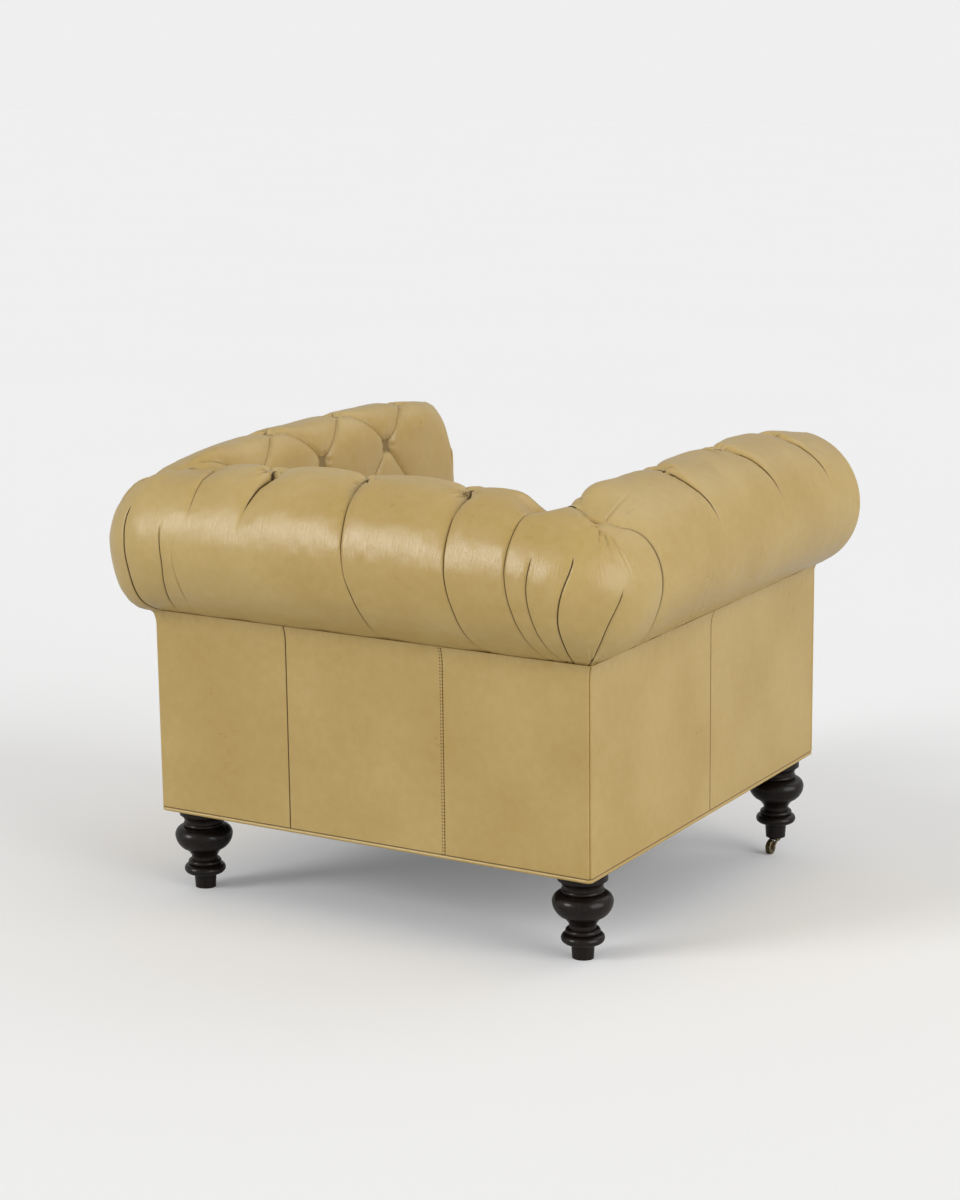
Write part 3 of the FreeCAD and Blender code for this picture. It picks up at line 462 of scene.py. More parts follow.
leather_colour = (0.525, 0.372, 0.132)
leather = leather_material("butter_leather", leather_colour)
panel_leather = panel_material("panel_leather", leather_colour)
espresso = wood_material("espresso_lacquer", (0.011, 0.0062, 0.0040), (0.005, 0.0030, 0.0022),
                         coat=0.22, roughness=0.36, scale=160.0)
timber = wood_material("frame_timber", (0.62, 0.45, 0.27), (0.47, 0.32, 0.18),
                       coat=0.0, roughness=0.6, scale=90.0)
brass = metal_material("aged_brass", (0.30, 0.24, 0.13), (0.10, 0.08, 0.05), 0.32)
steel = metal_material("zinc_steel", (0.56, 0.57, 0.58), (0.38, 0.38, 0.39), 0.35)
webbing = cloth_material("webbing_weave", (0.20, 0.17, 0.14), (0.07, 0.06, 0.05), 500.0)
hessian = cloth_material("hessian_weave", (0.62, 0.53, 0.38), (0.34, 0.27, 0.17), 700.0)
dust_cloth = cloth_material("dust_cloth_weave", (0.035, 0.035, 0.038), (0.012, 0.012, 0.013), 1500.0)
foam = cloth_material("foam_cells", (0.85, 0.80, 0.62), (0.72, 0.66, 0.48), 1100.0)

slot_materials = {
    "leather": leather, "foam": foam, "webbing": webbing, "hessian": hessian, "dust_cloth": dust_cloth,
    "frame_timber": timber, "dark_wood": espresso, "aged_brass": brass, "steel": steel,
}


def dress_cad_nodes():
    """Every piece that stays as it was made gets the finish of its slot."""
    slots = {part["node"]: part["material_slot"] for part in frame["record"]["subparts"]}
    for name, node in frame["nodes"].items():
        node.data.materials.clear()
        finish = panel_leather if name.endswith("_panel") else slot_materials[slots[name]]
        node.data.materials.append(finish)


# Sections across the padding

def section(q, lean):
    """Where the padding's surface lies at q from the crest, and its outward direction."""
    outside = np.clip(-q, 0, None) / roll_radius
    shoulder_end = shoulder_radius * (math.pi / 2 - lean)
    inside = np.clip(q, 0, shoulder_end) / shoulder_radius
    run = np.clip(q - shoulder_end, 0, None)
    is_out = q < 0
    u_out = crest_u + roll_radius * np.sin(outside)
    z_out = roll_centre + roll_radius * np.cos(outside)
    u_in = crest_u - shoulder_radius * np.sin(inside) - run * math.sin(lean)
    z_in = shoulder_z + shoulder_radius * np.cos(inside) - run * math.cos(lean)
    normal_u = np.where(is_out, np.sin(outside), -np.sin(inside))
    normal_z = np.where(is_out, np.cos(outside), np.cos(inside))
    return np.where(is_out, u_out, u_in), np.where(is_out, z_out, z_in), normal_u, normal_z


def inner_u_at(z, lean):
    """How far out the inner face lies at a height."""
    q = np.linspace(0, 0.6, 1200)
    u, heights, _, _ = section(q, lean)
    return np.interp(-z, -heights, u)


def on_ring(s, u):
    """Level x and y, and the way out, at s along the whole roll from the back's middle."""
    side = np.where(s < 0, -1.0, 1.0)
    reach = np.abs(s)
    turn = np.clip((reach - core_x) / corner_radius, 0, math.pi / 2)
    forward = np.clip(reach - core_x - corner_arc, 0, None)
    x = side * (np.minimum(reach, core_x) + u * np.sin(turn))
    y = core_y + u * np.cos(turn) - forward
    return x, y, side * np.sin(turn), np.cos(turn)


def arm_s(y):
    """Distance along the roll, from the middle of the back, of a place y on an arm."""
    return core_x + corner_arc + core_y - y


def elevation(q):
    """Degrees above the horizon of a place on the outer round."""
    return 90 + np.degrees(q / roll_radius)


def over_elevation(q, pairs):
    """A value for each row, from (elevation, value) pairs."""
    return np.interp(-elevation(q), [-degrees for degrees, _ in pairs], [value for _, value in pairs])


# The leather over the arms and the back. A sheet is a grid: its columns follow the pleats,
# its rows lie at lengths q from the crest, from the panels' top edge round to the seat.

def reach_of(pairs, q, inner=None):
    """A pleat's distance along the roll for each row: its curve outside, and inner inside."""
    outside = softened(over_elevation(np.minimum(q, 0), pairs), 60)
    return outside if inner is None else np.where(q > 0, inner, outside)


def spread(count, near_start, near_end):
    """Shares from 0 to 1 for the columns between two curves, closer together at a pleat."""
    share = np.linspace(0, 1, count + 1)
    if near_start and near_end:
        first = 0.5 * (2 * np.minimum(share, 0.5)) ** 1.5
        last = 0.5 * (2 * np.minimum(1 - share, 0.5)) ** 1.5
        return np.where(share < 0.5, first, 1 - last)
    if near_start:
        return share ** 1.5
    if near_end:
        return 1 - (1 - share) ** 1.5
    return share


def column_places(q, curves, counts):
    """Places along the roll of every row and column, from curves and the columns between them."""
    lower = smooth(-q, 0.0, 0.030)[:, None]
    blocks = []
    for first, second, count in zip(curves, curves[1:], counts):
        even = np.linspace(0, 1, count + 1)[None, :]
        near = spread(count, first["trough"], second["trough"])[None, :]
        share = even * (1 - lower) + near * lower
        start = first["course"][:, None]
        block = start + (second["course"][:, None] - start) * share
        blocks.append(block if second is curves[-1] else block[:, :-1])
    return np.concatenate(blocks, axis=1)


def rise_along(s):
    """How much taller the roll stands at a place along it, between its ends and corners."""
    back = 1 - np.minimum(np.abs(s) / core_x, 1) ** 3
    share = np.clip((np.abs(s) - core_x - corner_arc) / (core_y - skin_front), 0, 1)
    return back_crest_rise * back + arm_crest_rise * (1 - np.abs(2 * share - 1) ** 3)


def slope_to_front(s, q, u, z):
    """Moves the inner side of an arm in towards the sloping outline of its front."""
    behind = arm_s(skin_front) - s
    share = np.clip(1 - behind / front_lobe, 0, 1) ** 2
    low_z = roll_crest - scroll_shoulder_drop
    top_u = crest_u + scroll_crest_shift
    top_z = roll_centre + math.sqrt(roll_radius ** 2 - scroll_crest_shift ** 2)
    start = -roll_radius * math.asin(scroll_crest_shift / roll_radius)
    end = shoulder_radius * math.pi / 2 + shoulder_z - low_z
    turn = np.clip((q - start) / (end - start), 0, 1) * math.pi / 2
    foot_u = inner_u - (shoulder_z - deck_height) * math.tan(arm_lean)
    front_u = top_u - (top_u - inner_u) * np.sin(turn)
    front_z = low_z + (top_z - low_z) * np.cos(turn)
    below = q > end
    front_u = np.where(below, inner_u + (foot_u - inner_u) * (low_z - z) / (low_z - deck_height), front_u)
    front_z = np.where(below, z, front_z)
    share = share * (q > start)
    return u + share * (front_u - u), z + share * (front_z - z)


def base_points(s, q, lean):
    """Points of the smooth roll and inner face, and their outward directions."""
    rows = q[:, None] + 0 * s
    u, z, normal_u, normal_z = section(np.maximum(rows, -roll_length), lean)
    u, z = slope_to_front(np.abs(s), rows, u, z)
    z = z + rise_along(s) * np.clip(z - roll_centre, 0, None) / roll_radius
    turn = np.clip((np.abs(s) - core_x) / corner_radius, 0, math.pi / 2)
    square = face_u / np.maximum(np.cos(turn), np.sin(turn)) - face_u
    foot = smooth(-rows, roll_length - 0.075, roll_length)
    u = u + square * foot - np.clip(-rows - roll_length, 0, None)
    z = z - hem_drop * smooth(-rows, roll_length - 0.008, roll_length)
    x, y, out_x, out_y = on_ring(s, u)
    points = np.stack([x, y, z], axis=-1)
    normals = np.stack([normal_u * out_x, normal_u * out_y, normal_z], axis=-1)
    return points, normals


def lengths_along_rows(points):
    steps = np.linalg.norm(np.diff(points, axis=1), axis=2)
    return np.concatenate([np.zeros((len(points), 1)), np.cumsum(steps, axis=1)], axis=1)


def pleat_relief(distance, q, trough, fold, trough_side, width):
    """How a pleat lowers the leather: a hollow on one side, a full lobe on the other, with painted shade
    along its fold and in its hollow.

    Trough and fold are (elevation, millimetres) pairs.
    """
    depth = 0.001 * over_elevation(q, trough)[:, None]
    sharp = 0.001 * over_elevation(q, fold)[:, None]
    away = np.abs(distance)
    hollow_side = distance * trough_side > 0
    hollow = np.where(hollow_side, np.exp(-(away / 0.023) ** 1.4), np.exp(-away / 0.006))
    lip = np.where(hollow_side, 0, peak(away, 0.003, 0.003))
    relief = -depth * hollow - sharp * np.exp(-away / (1.2 * width)) + 0.4 * sharp * lip
    # Painted shade: a dark line along the fold, and darkening in the deep hollow beside it.
    line = np.clip(sharp / 0.0015, 0, 1) * peak(away, 0, width)
    shade = np.clip(depth / 0.016, 0, 1) ** 2 * np.where(hollow_side, peak(away, 0, 0.009), 0)
    return relief, np.maximum(line, 0.7 * shade)


def segment_distance(a, b, start, end):
    """Distance from every place (a, b) to a straight fold between two places."""
    run = np.array(end) - np.array(start)
    share = ((a - start[0]) * run[0] + (b - start[1]) * run[1]) / run.dot(run)
    share = np.clip(share, 0, 1)
    return np.hypot(a - start[0] - share * run[0], b - start[1] - share * run[1])


def short_folds(s, q, folds):
    """Short sharp folds, each from a start to an end place and so deep at its start."""
    relief = np.zeros(s.shape)
    lines = np.zeros(s.shape)
    for start, end, depth in folds:
        away = segment_distance(s, q, start, end)
        whole = math.dist(start, end)
        left = np.clip(np.hypot(s - end[0], q - end[1]) / whole, 0, 1) ** 0.6
        relief += left * depth * (0.5 * peak(away, 0.0045, 0.0025) - np.exp(-away / 0.0018))
        # Painted shade along each fold, fading towards its end.
        lines = np.maximum(lines, left * min(depth / 0.0035, 1) * peak(away, 0, 0.0012))
    return relief, lines


def fan(place, q, degrees, length, depth):
    """Folds that spread from a tuft; 0 degrees runs straight down the outside."""
    folds = []
    for number, turn in enumerate(degrees):
        along = math.sin(math.radians(turn))
        down = -math.cos(math.radians(turn))
        reach = length * (1 + 0.18 * math.cos(2.3 * number + place * 40))
        folds.append(((place + 0.004 * along, q + 0.004 * down),
                      (place + reach * along, q + reach * down), depth))
    return folds


def q_at(degrees):
    """The length from the crest of an elevation on the outer round."""
    return roll_radius * math.radians(degrees - 90)


def fold_lines(buttons_by_row, half_pitch, end_places):
    """The folds between neighbouring buttons, to the sheet's ends and down to the seat."""
    folds = []
    neighbours = zip(buttons_by_row, buttons_by_row[1:], button_rows, button_rows[1:])
    for upper, lower, q_upper, q_lower in neighbours:
        for a in upper:
            for b in lower:
                if abs(a - b) < 1.1 * half_pitch:
                    folds.append(((a, q_upper), (b, q_lower)))
    for a in buttons_by_row[-1]:
        folds.append(((a, button_rows[-1]), (a, button_rows[-1] + 0.9 * row_pitch)))
    return folds + end_places


def pillow_relief(along, q, folds, buttons_by_row, swell, depth):
    """The buttoned face: pillows between folds, and a gathered pit at each button."""
    rounding = 0.006
    total = np.zeros(along.shape)
    for start, end in folds:
        total += np.exp(-segment_distance(along, q, start, end) / rounding)
    nearest = np.maximum(-rounding * np.log(total + 1e-9), 0)
    span = 0.052
    rise = np.sqrt(np.clip(1 - (1 - np.minimum(nearest / span, 1)) ** 2, 0, 1))
    relief = swell - (swell + depth) * (1 - rise)
    # Painted shade along the folds between the buttons.
    line = 0.75 * peak(nearest, 0, 0.0014)
    pits, gathers = button_pits(along, q, buttons_by_row)
    return relief + pits + gathers, line


def around_buttons(along, q, buttons_by_row):
    """For each button its row and number, and how far across and down from it every place lies."""
    for row, (places, length) in enumerate(zip(buttons_by_row, button_rows)):
        for number, place in enumerate(places):
            yield row, number, along - place, q - length


def button_pits(along, q, buttons_by_row):
    """Narrow pits that hide their buttons, with short folds fanning out of them."""
    pits = np.zeros(along.shape)
    gathers = np.zeros(along.shape)
    for row, number, across, down in around_buttons(along, q, buttons_by_row):
        away = np.hypot(across, down)
        pits -= crest_button_depth * np.exp(-(away / 0.0105) ** 1.6)
        folds = 8 + (row + 2 * number) % 3
        ring = peak(away, 0.017, 0.008)
        gathers += 0.0011 * ring * np.cos(folds * np.arctan2(down, across) + 1.7 * number + row)
    return pits, gathers


def sheet_mesh(points, outward, keep, attributes, uv):
    """A bmesh over rows and columns of points, cut where keep is false."""
    rows, columns = keep.shape
    mesh = mesh_of("sheet", grid(points))
    for name, values in attributes.items():
        layer = mesh.attributes.new(name, "FLOAT", "POINT")
        layer.data.foreach_set("value", values.astype(np.float32).ravel())
    corners = np.empty(len(mesh.loops), np.int32)
    mesh.loops.foreach_get("vertex_index", corners)
    layer = mesh.uv_layers.new(name="UVMap")
    places = uv.reshape(-1, 2)[corners]
    layer.data.foreach_set("uv", places.astype(np.float32).ravel())
    bm = bmesh_of(mesh)
    bpy.data.meshes.remove(mesh)
    valley_triangles(bm, attributes["crease_shade"].ravel())
    bm.verts.ensure_lookup_table()
    gone = [bm.verts[index] for index in np.flatnonzero(~keep.ravel())]
    middle_row, middle_column = rows // 3, columns // 2
    probe = bm.verts[middle_row * columns + middle_column]
    probe.normal_update()
    if probe.normal.dot(Vector(outward[middle_row, middle_column])) < 0:
        bmesh.ops.reverse_faces(bm, faces=bm.faces)
    bmesh.ops.delete(bm, geom=gone, context="VERTS")
    bmesh.ops.remove_doubles(bm, verts=bm.verts, dist=0.00002)
    return bm


def valley_triangles(bm, crease_shade):
    """Splits the grid's faces along their folds, so that a fold runs straight."""
    first, second = [], []
    for face in bm.faces:
        a, b, c, d = (crease_shade[vert.index] for vert in face.verts)
        if max(a, b, c, d) > 0.2:
            (first if a + c >= b + d else second).append(face)
    bmesh.ops.triangulate(bm, faces=first, quad_method="FIXED")
    bmesh.ops.triangulate(bm, faces=second, quad_method="ALTERNATE")


outer_q = np.concatenate([np.linspace(-roll_length, -crest_band, outer_rows + 1),
                          np.linspace(-crest_band, 0, crest_rows + 1)[1:]])
inner_q = np.concatenate([np.linspace(a, b, rows_per_lobe + 1)[1:]
                          for a, b in zip(button_rows, button_rows[1:])])
crest_row = len(outer_q)


def row_lengths(lean):
    """All rows of a sheet: a hem under the roll, the roll, the buttoned face, the seat side."""
    shoulder_end = shoulder_radius * (math.pi / 2 - lean)
    top = shoulder_z + shoulder_radius * math.sin(lean)
    deck = shoulder_end + (top - deck_height) / math.cos(lean)
    tail = np.linspace(button_rows[-1], deck, tail_rows + 1)[1:]
    return np.concatenate([[-roll_length - 0.010], outer_q, inner_q, tail])


def curve(course, trough=None, fold=None, side=1, width=pleat_line):
    """A line down the sheet that its columns follow: a pleat if it has a trough."""
    return {"course": course, "trough": trough, "fold": fold, "side": side, "width": width}


def relief_of_curves(points, q, curves, counts):
    """All pleats' relief and the painted shade of their lines over a sheet."""
    lengths = lengths_along_rows(points)
    relief = np.zeros(points.shape[:2])
    lines = np.zeros(points.shape[:2])
    column = 0
    for number, item in enumerate(curves):
        if item["trough"]:
            distance = lengths - lengths[:, column:column + 1]
            low, line = pleat_relief(distance, q, item["trough"], item["fold"], item["side"], item["width"])
            relief += low
            lines = np.maximum(lines, line)
        if number < len(counts):
            column += counts[number]
    return relief, lines


# The back's pleats on each side, from the middle outwards: a course of (elevation, place) pairs,
# then the depths of its trough and its fold, and the side of its hollow

back_lobe = back_pitch / 2
corner_start = [(90, 0.388), (30, 0.395), (0, 0.392), (-40, 0.400), (-73, 0.408)]
near_back = [
    ([(90, 0.097), (40, 0.104), (0, 0.113), (-73, 0.150)],),
    ([(90, 0.194), (75, 0.207), (54, 0.204), (32, 0.206), (10, 0.212), (-9, 0.222), (-43, 0.237),
      (-73, 0.250)],
     [(90, 19), (76, 18), (50, 6), (20, 1)],
     [(90, 5), (75, 5), (50, 3), (20, 2.2), (0, 2.2), (-73, 2.5)], -1),
    ([(90, 0.291), (60, 0.277), (0, 0.268), (-73, 0.302)],),
    ([(90, 0.3222), (75, 0.328), (59, 0.322), (18, 0.319), (-11, 0.334), (-45, 0.352), (-73, 0.368)],
     [(90, 6), (85, 6), (60, 2), (20, 0.8)], [(90, 2.5), (-73, 2.5)], -1),
    ([(90, 0.3568), (60, 0.358), (30, 0.367), (9, 0.361), (-19, 0.371), (-48, 0.385), (-73, 0.397)],
     [(40, 0), (20, 0.7), (-73, 0.7)], [(34, 0), (20, 2.0), (-73, 2.0)], -1),
    (corner_start,),
    ([(90, 0.4198), (30, 0.447), (8, 0.4243), (-17, 0.4152), (-50, 0.4266), (-73, 0.430)],
     [(36, 0), (20, 1.0), (-73, 1.0)], [(34, 0), (27, 2.3), (-73, 2.3)], -1),
    ([(90, 0.456), (30, 0.538), (4, 0.5264), (-18, 0.5014), (-55, 0.4878), (-73, 0.485)],
     [(8, 0), (-10, 1.0), (-73, 1.0)], [(8, 0), (0, 2.2), (-73, 2.2)], 1),
]
far_back = [
    ([(90, 0.097), (40, 0.092), (0, 0.088), (-73, 0.094)],),
    ([(90, 0.194), (79, 0.184), (55, 0.186), (14, 0.194), (-29, 0.190), (-73, 0.188)],
     [(90, 20), (78, 20), (60, 10), (35, 3), (14, 0)], [(90, 5), (80, 5), (60, 3), (35, 0.5), (20, 0)], -1),
    ([(90, 0.291), (60, 0.270), (0, 0.262), (-73, 0.258)],),
    ([(90, 0.3222), (82, 0.309), (55, 0.303), (30, 0.296), (8, 0.325), (-30, 0.315), (-73, 0.322)],
     [(90, 5), (80, 5), (50, 3), (25, 0)],
     [(90, 1.2), (40, 1.0), (25, 0), (10, 0.5), (-30, 1.0), (-57, 0)], -1),
    ([(90, 0.3568), (60, 0.352), (19, 0.351), (-4, 0.342), (-53, 0.358), (-73, 0.364)],
     [(40, 0), (20, 0.5), (-73, 0.5)], [(28, 0), (15, 1.4), (-40, 1.4), (-60, 0.6)], -1),
    (corner_start,),
    ([(90, 0.4198), (30, 0.440), (6, 0.4270), (-20, 0.4200), (-50, 0.4290), (-73, 0.433)],
     [(40, 0), (24, 1.0), (-73, 1.0)], [(38, 0), (30, 2.1), (-73, 2.3)], -1),
    ([(90, 0.456), (30, 0.530), (10, 0.5200), (-18, 0.4990), (-55, 0.4850), (-73, 0.483)],
     [(16, 0), (-6, 1.0), (-73, 1.0)], [(14, 0), (6, 2.2), (-73, 2.2)], 1),
]


def back_half(side, q, end):
    """The curves of one half of the back and its corner, from the middle outwards."""
    last_crest = 3 * back_lobe
    inside = [back_lobe, 2 * back_lobe, last_crest, last_crest + (end - last_crest) * (9 / 28),
              last_crest + (end - last_crest) * (19 / 28), end, None, None]
    curves = []
    for (course, *depths), inner in zip(near_back if side < 0 else far_back, inside):
        curves.append(curve(side * reach_of(course, q, inner), *depths))
    return curves + [curve(side * arm_edge(q), arm_edge_trough, arm_edge_fold, 1, edge_line)]


arm_edge_course = [(90, 0.497), (73, 0.500), (51, 0.616), (27, 0.637), (4, 0.638), (-20, 0.632),
                   (-57, 0.645), (-73, 0.652)]
arm_edge_trough = [(90, 7), (75, 8), (45, 7), (10, 5.0), (-73, 4.0)]
arm_edge_fold = [(90, 2.0), (-73, 1.2)]


def arm_edge(q):
    """The deep pleat where the arm's leather meets the back's, for each row."""
    return reach_of(arm_edge_course, q)


# How many columns lie between the back's curves, from the middle outwards
back_counts = (28, 28, 28, 9, 10, 9, 14, 28, 32)

# Folds of the gathered corner, as pairs of (place along the roll, elevation) and a depth
far_slack = 0.013
gather_place = 0.516
gather_degrees = 66
gather_depth = 0.010
corner_fold_places = [
    ((0.512, 67), (0.474, 92), 0.0040), ((0.510, 62), (0.470, 78), 0.0030),
    ((0.508, 58), (0.466, 62), 0.0024), ((0.508, 54), (0.482, 30), 0.0024),
    ((0.516, 50), (0.512, 22), 0.0022), ((0.530, 46), (0.545, 18), 0.0018),
    ((0.490, -70), (0.474, -38), 0.0022), ((0.494, -69), (0.524, -42), 0.0030),
    ((0.500, -68), (0.560, -48), 0.0028), ((0.508, -68), (0.600, -57), 0.0026),
]
corner_folds = [((a[0], q_at(a[1])), (b[0], q_at(b[1])), depth) for a, b, depth in corner_fold_places]


def gathered_corner(s, q):
    """The drawn-in place near the top of the corner where the pleats meet."""
    away = np.hypot((s - gather_place) * 0.6, q - q_at(gather_degrees))
    return -gather_depth * np.exp(-(away / 0.010) ** 1.4)


def pleated_roll(q, curves, counts, lean, folds):
    """A sheet's places over the smooth roll, and the relief and painted shade lines of its pleats and
    folds.
    """
    s = column_places(q, curves, counts)
    length = q[:, None] + 0 * s
    points, normals = base_points(s, q, lean)
    relief, lines = relief_of_curves(points, q, curves, counts)
    extra, extra_lines = short_folds(s, length, folds)
    return s, length, points, normals, relief + extra, np.maximum(lines, extra_lines)


def back_sheet():
    """The leather of the back, with both corners up to the arms' deep pleats."""
    q = row_lengths(back_lean)
    _, height, _, _ = section(np.clip(q, 0, None), back_lean)
    end = core_x + inner_u_at(height, arm_lean) + mitre_overlap * smooth(q, 0, 0.03)
    end = np.minimum(end, core_x)
    middle_course = [(90, 0), (65, 0.001), (44, 0.007), (16, 0.016), (1, 0.023), (-19, 0.039),
                     (-48, 0.049), (-73, 0.058)]
    middle = curve(-reach_of(middle_course, q, 0.0), [(90, 20), (76, 19), (50, 6), (20, 1)],
                   [(90, 5), (76, 5), (50, 3), (15, 1.2), (0, 1.0), (-20, 1.8), (-45, 2.5), (-73, 2.5)], 1)
    near = back_half(-1, q, end)
    far = back_half(1, q, end)
    for item in near:
        item["side"] = -item["side"]
    curves = near[::-1] + [middle] + far
    counts = back_counts[::-1] + back_counts
    tufts = []
    for place in (-back_pitch, 0.0, back_pitch):
        tufts += fan(place, -0.010, (18, 48, 78, -32, -66), 0.034, 0.0042)
    s, length, points, normals, relief, lines = pleated_roll(q, curves, counts, back_lean, tufts)
    around, around_lines = short_folds(np.abs(s), length, corner_folds)
    slack = far_slack * peak(s, 0.49, 0.075) * peak(elevation(length), -46, 24)
    relief = relief + around + gathered_corner(np.abs(s), length) + slack
    dip = peak(s, near_dip_place, 0.032) + 0.3 * peak(s, far_dip_place, 0.035)
    shape = -end_dip * dip * peak(length, 0.010, 0.045)
    lines = np.maximum(lines, around_lines)
    rows = [[place * back_lobe for place in row] for row in ((-2, 0, 2), (-3, -1, 1, 3)) * 2]
    mitre = core_x - 0.045
    ends = []
    for side in (-1, 1):
        for button_row, place, length_there in ((1, core_x, 0.0), (1, mitre, button_rows[1] + 0.01),
                                                (3, mitre, button_rows[3] + 0.01)):
            ends.append(((side * 3 * back_lobe, button_rows[button_row]), (side * place, length_there)))
    return dress_sheet(q, s, points, normals, relief, lines, rows, fold_lines(rows, back_lobe, ends),
                       0.007, back_lean, s, np.abs(s) - end[:, None], sum(counts[:3]), shape, 1.0, 2)


def dress_sheet(q, s, points, normals, relief, lines, rows, folds, swell, lean, along, past_mitre,
                corner_columns, shape, held, ends):
    """Blends the roll's pleats into the buttoned face, with painted shade in its folds and button pits, and
    makes the sheet's mesh.
    """
    length = q[:, None] + 0 * s
    face, face_lines = pillow_relief(along, length, folds, rows, swell, 0.006)
    inside = smooth(length, -0.004, 0.026)
    _, height, _, _ = section(q, lean)
    seat = smooth(height, *seat_line)[:, None]
    seat = np.where(length > 0, seat, 1)
    pits, gathers = button_pits(along, length, rows[:1])
    outside = relief + (pits + gathers) * (length <= 0.05)
    mitre = np.exp(-np.abs(past_mitre + mitre_overlap) / 0.010) * (length > 0) * smooth(length, 0, 0.03)
    uneven = 0.0010 * wander(np.abs(s), length, 0.055, 3) + 0.0004 * wander(np.abs(s), length, 0.017, 4)
    total = (outside * (1 - inside) + face * inside) * seat - 0.006 * mitre * seat + uneven * seat
    # The painted shade of the pleats and folds, which fades out low on the inner face, near the seat.
    crease_shade = np.maximum(lines * (1 - inside), face_lines * inside * 0.8) * seat
    pit = np.zeros(s.shape)
    near_button = np.zeros(s.shape)
    floor = np.full(s.shape, -1.0)
    for _, _, across, down in around_buttons(along, length, rows):
        away = np.hypot(across, down)
        pit = np.maximum(pit, peak(away, 0, 0.0085))
        near_button = np.maximum(near_button, np.exp(-away / 0.030))
        floor = np.maximum(floor, -button_top - 1.3 * np.maximum(away - button_reach, 0))
    total = (np.maximum(total, floor) + shape * seat) * held
    # Painted shade in each button's pit.
    crease_shade = np.maximum(crease_shade, 0.45 * pit)
    wrinkle = peak(elevation(length), 18, 22) * (length < 0)
    moved = points + normals * total[..., None]
    keep = np.ones(s.shape, bool)
    keep[crest_row + 3:, -corner_columns:] = False
    if ends == 2:
        keep[crest_row + 3:, :corner_columns] = False
    return sheet_mesh(moved, normals, keep, {"crease_shade": crease_shade, "stretch": near_button, "wrinkle": wrinkle},
                      np.stack([s, length], axis=-1))


# The arm's curves from the front: (elevation, level y) pairs outside and the level y inside,
# where the last one follows the mitre instead

arm_half_pitch = arm_pitch / 2
arm_courses = [
    ([(90, skin_front)], skin_front),
    ([(90, -0.305), (71, -0.303), (46, -0.318), (27, -0.327), (-73, -0.335)], -0.305),
    ([(90, -0.1975), (20, -0.215)], -0.1975),
    ([(90, -0.090), (89, -0.092), (47, -0.116), (21, -0.124), (-73, -0.130)], -0.090),
    ([(90, 0.0175), (20, -0.002)], 0.0175),
    ([(90, 0.125), (87, 0.129), (60, 0.141), (39, 0.123), (22, 0.120), (-73, 0.115)], 0.125),
    ([(90, 0.2325), (20, 0.222)], 0.2325),
    ([(90, core_y), (73, 0.385), (50, 0.345), (27, 0.310), (-73, 0.290)], None),
]
arm_pleat_numbers = (1, 3, 5)
arm_trough = [(90, 12), (85, 11), (60, 6), (40, 2), (15, 0)]
arm_fold = [(90, 3), (85, 3), (60, 2.5), (35, 1.2), (22, 0.4), (0, 0)]


def arm_sheet():
    """The leather of one arm: its roll, its buttoned inside and its part of the corner."""
    q = row_lengths(arm_lean)
    _, height, _, _ = section(np.clip(q, 0, None), arm_lean)
    end = core_y + inner_u_at(height, back_lean) + mitre_overlap * smooth(q, 0, 0.03)
    end = arm_s(np.minimum(end, core_y))
    curves = []
    for number, (pairs, inner_y) in enumerate(arm_courses):
        outside = [(degrees, arm_s(y)) for degrees, y in pairs]
        course = reach_of(outside, q, end if inner_y is None else arm_s(inner_y))
        depths = (arm_trough, arm_fold) if number in arm_pleat_numbers else ()
        curves.append(curve(course, *depths))
    # The painted shade beside the arm's deep pleat widens down the outside, where the corner's lobe would
    # shade it.
    width = edge_line + (shaded_edge_line - edge_line) * smooth(-q, 0.035, 0.065)[:, None]
    curves.append(curve(arm_edge(q), arm_edge_trough, arm_edge_fold, -1, width))
    counts = (32, 28, 28, 28, 28, 28, 42, 16)
    tufts = [((1.036, 0.0), (1.018, -0.044), 0.003), ((0.575, q_at(66)), (0.690, q_at(74)), 0.0022),
             ((0.585, q_at(60)), (0.700, q_at(62)), 0.0018)]
    for place in arm_pleats:
        tufts += fan(arm_s(place), -0.008, (24, 56, -30, -62), 0.032, 0.0038)
    s, length, points, normals, relief, lines = pleated_roll(q, curves, counts, arm_lean, tufts)
    relief = relief + gathered_corner(s, length)
    along = core_x + corner_arc + core_y - s
    shape = rear_swell * peak(s, rear_swell_place, 0.060) * peak(length, 0.020, 0.034)
    held = smooth(along - skin_front, 0.0, 0.012)
    pleats = arm_pleats
    between = [place + arm_half_pitch for place in pleats]
    rows = [pleats, between, pleats, between]
    last = between[-1]
    ends = [((last, button_rows[1]), (core_y, 0.0)),
            ((last, button_rows[1]), (0.352, button_rows[1] + 0.012)),
            ((last, button_rows[3]), (0.310, button_rows[3] + 0.012)),
            ((pleats[0], button_rows[2]), (skin_front, button_rows[2] + 0.004))]
    past_mitre = along - (core_x + corner_arc + core_y - end)[:, None]
    return dress_sheet(q, s, points, normals, relief, lines, rows, fold_lines(rows, arm_half_pitch, ends),
                       0.004, arm_lean, along, past_mitre, counts[-1], shape, held, 1)


def make_leather():
    back = finish_mesh("back_leather", back_sheet(), "chair_body", leather)
    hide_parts("back_padding", "left_rear_corner_roll", "right_rear_corner_roll")
    for side, sign in (("left", 1), ("right", -1)):
        bm = arm_sheet()
        if sign < 0:
            bmesh.ops.scale(bm, vec=(-1, 1, 1), verts=bm.verts)
            bmesh.ops.reverse_faces(bm, faces=bm.faces)
        arm = finish_mesh(side + "_arm_leather", bm, "chair_body", leather)
        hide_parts(side + "_arm_padding")


# The seat cushion: a boxed cover blown up over its foam, then piped along its seams

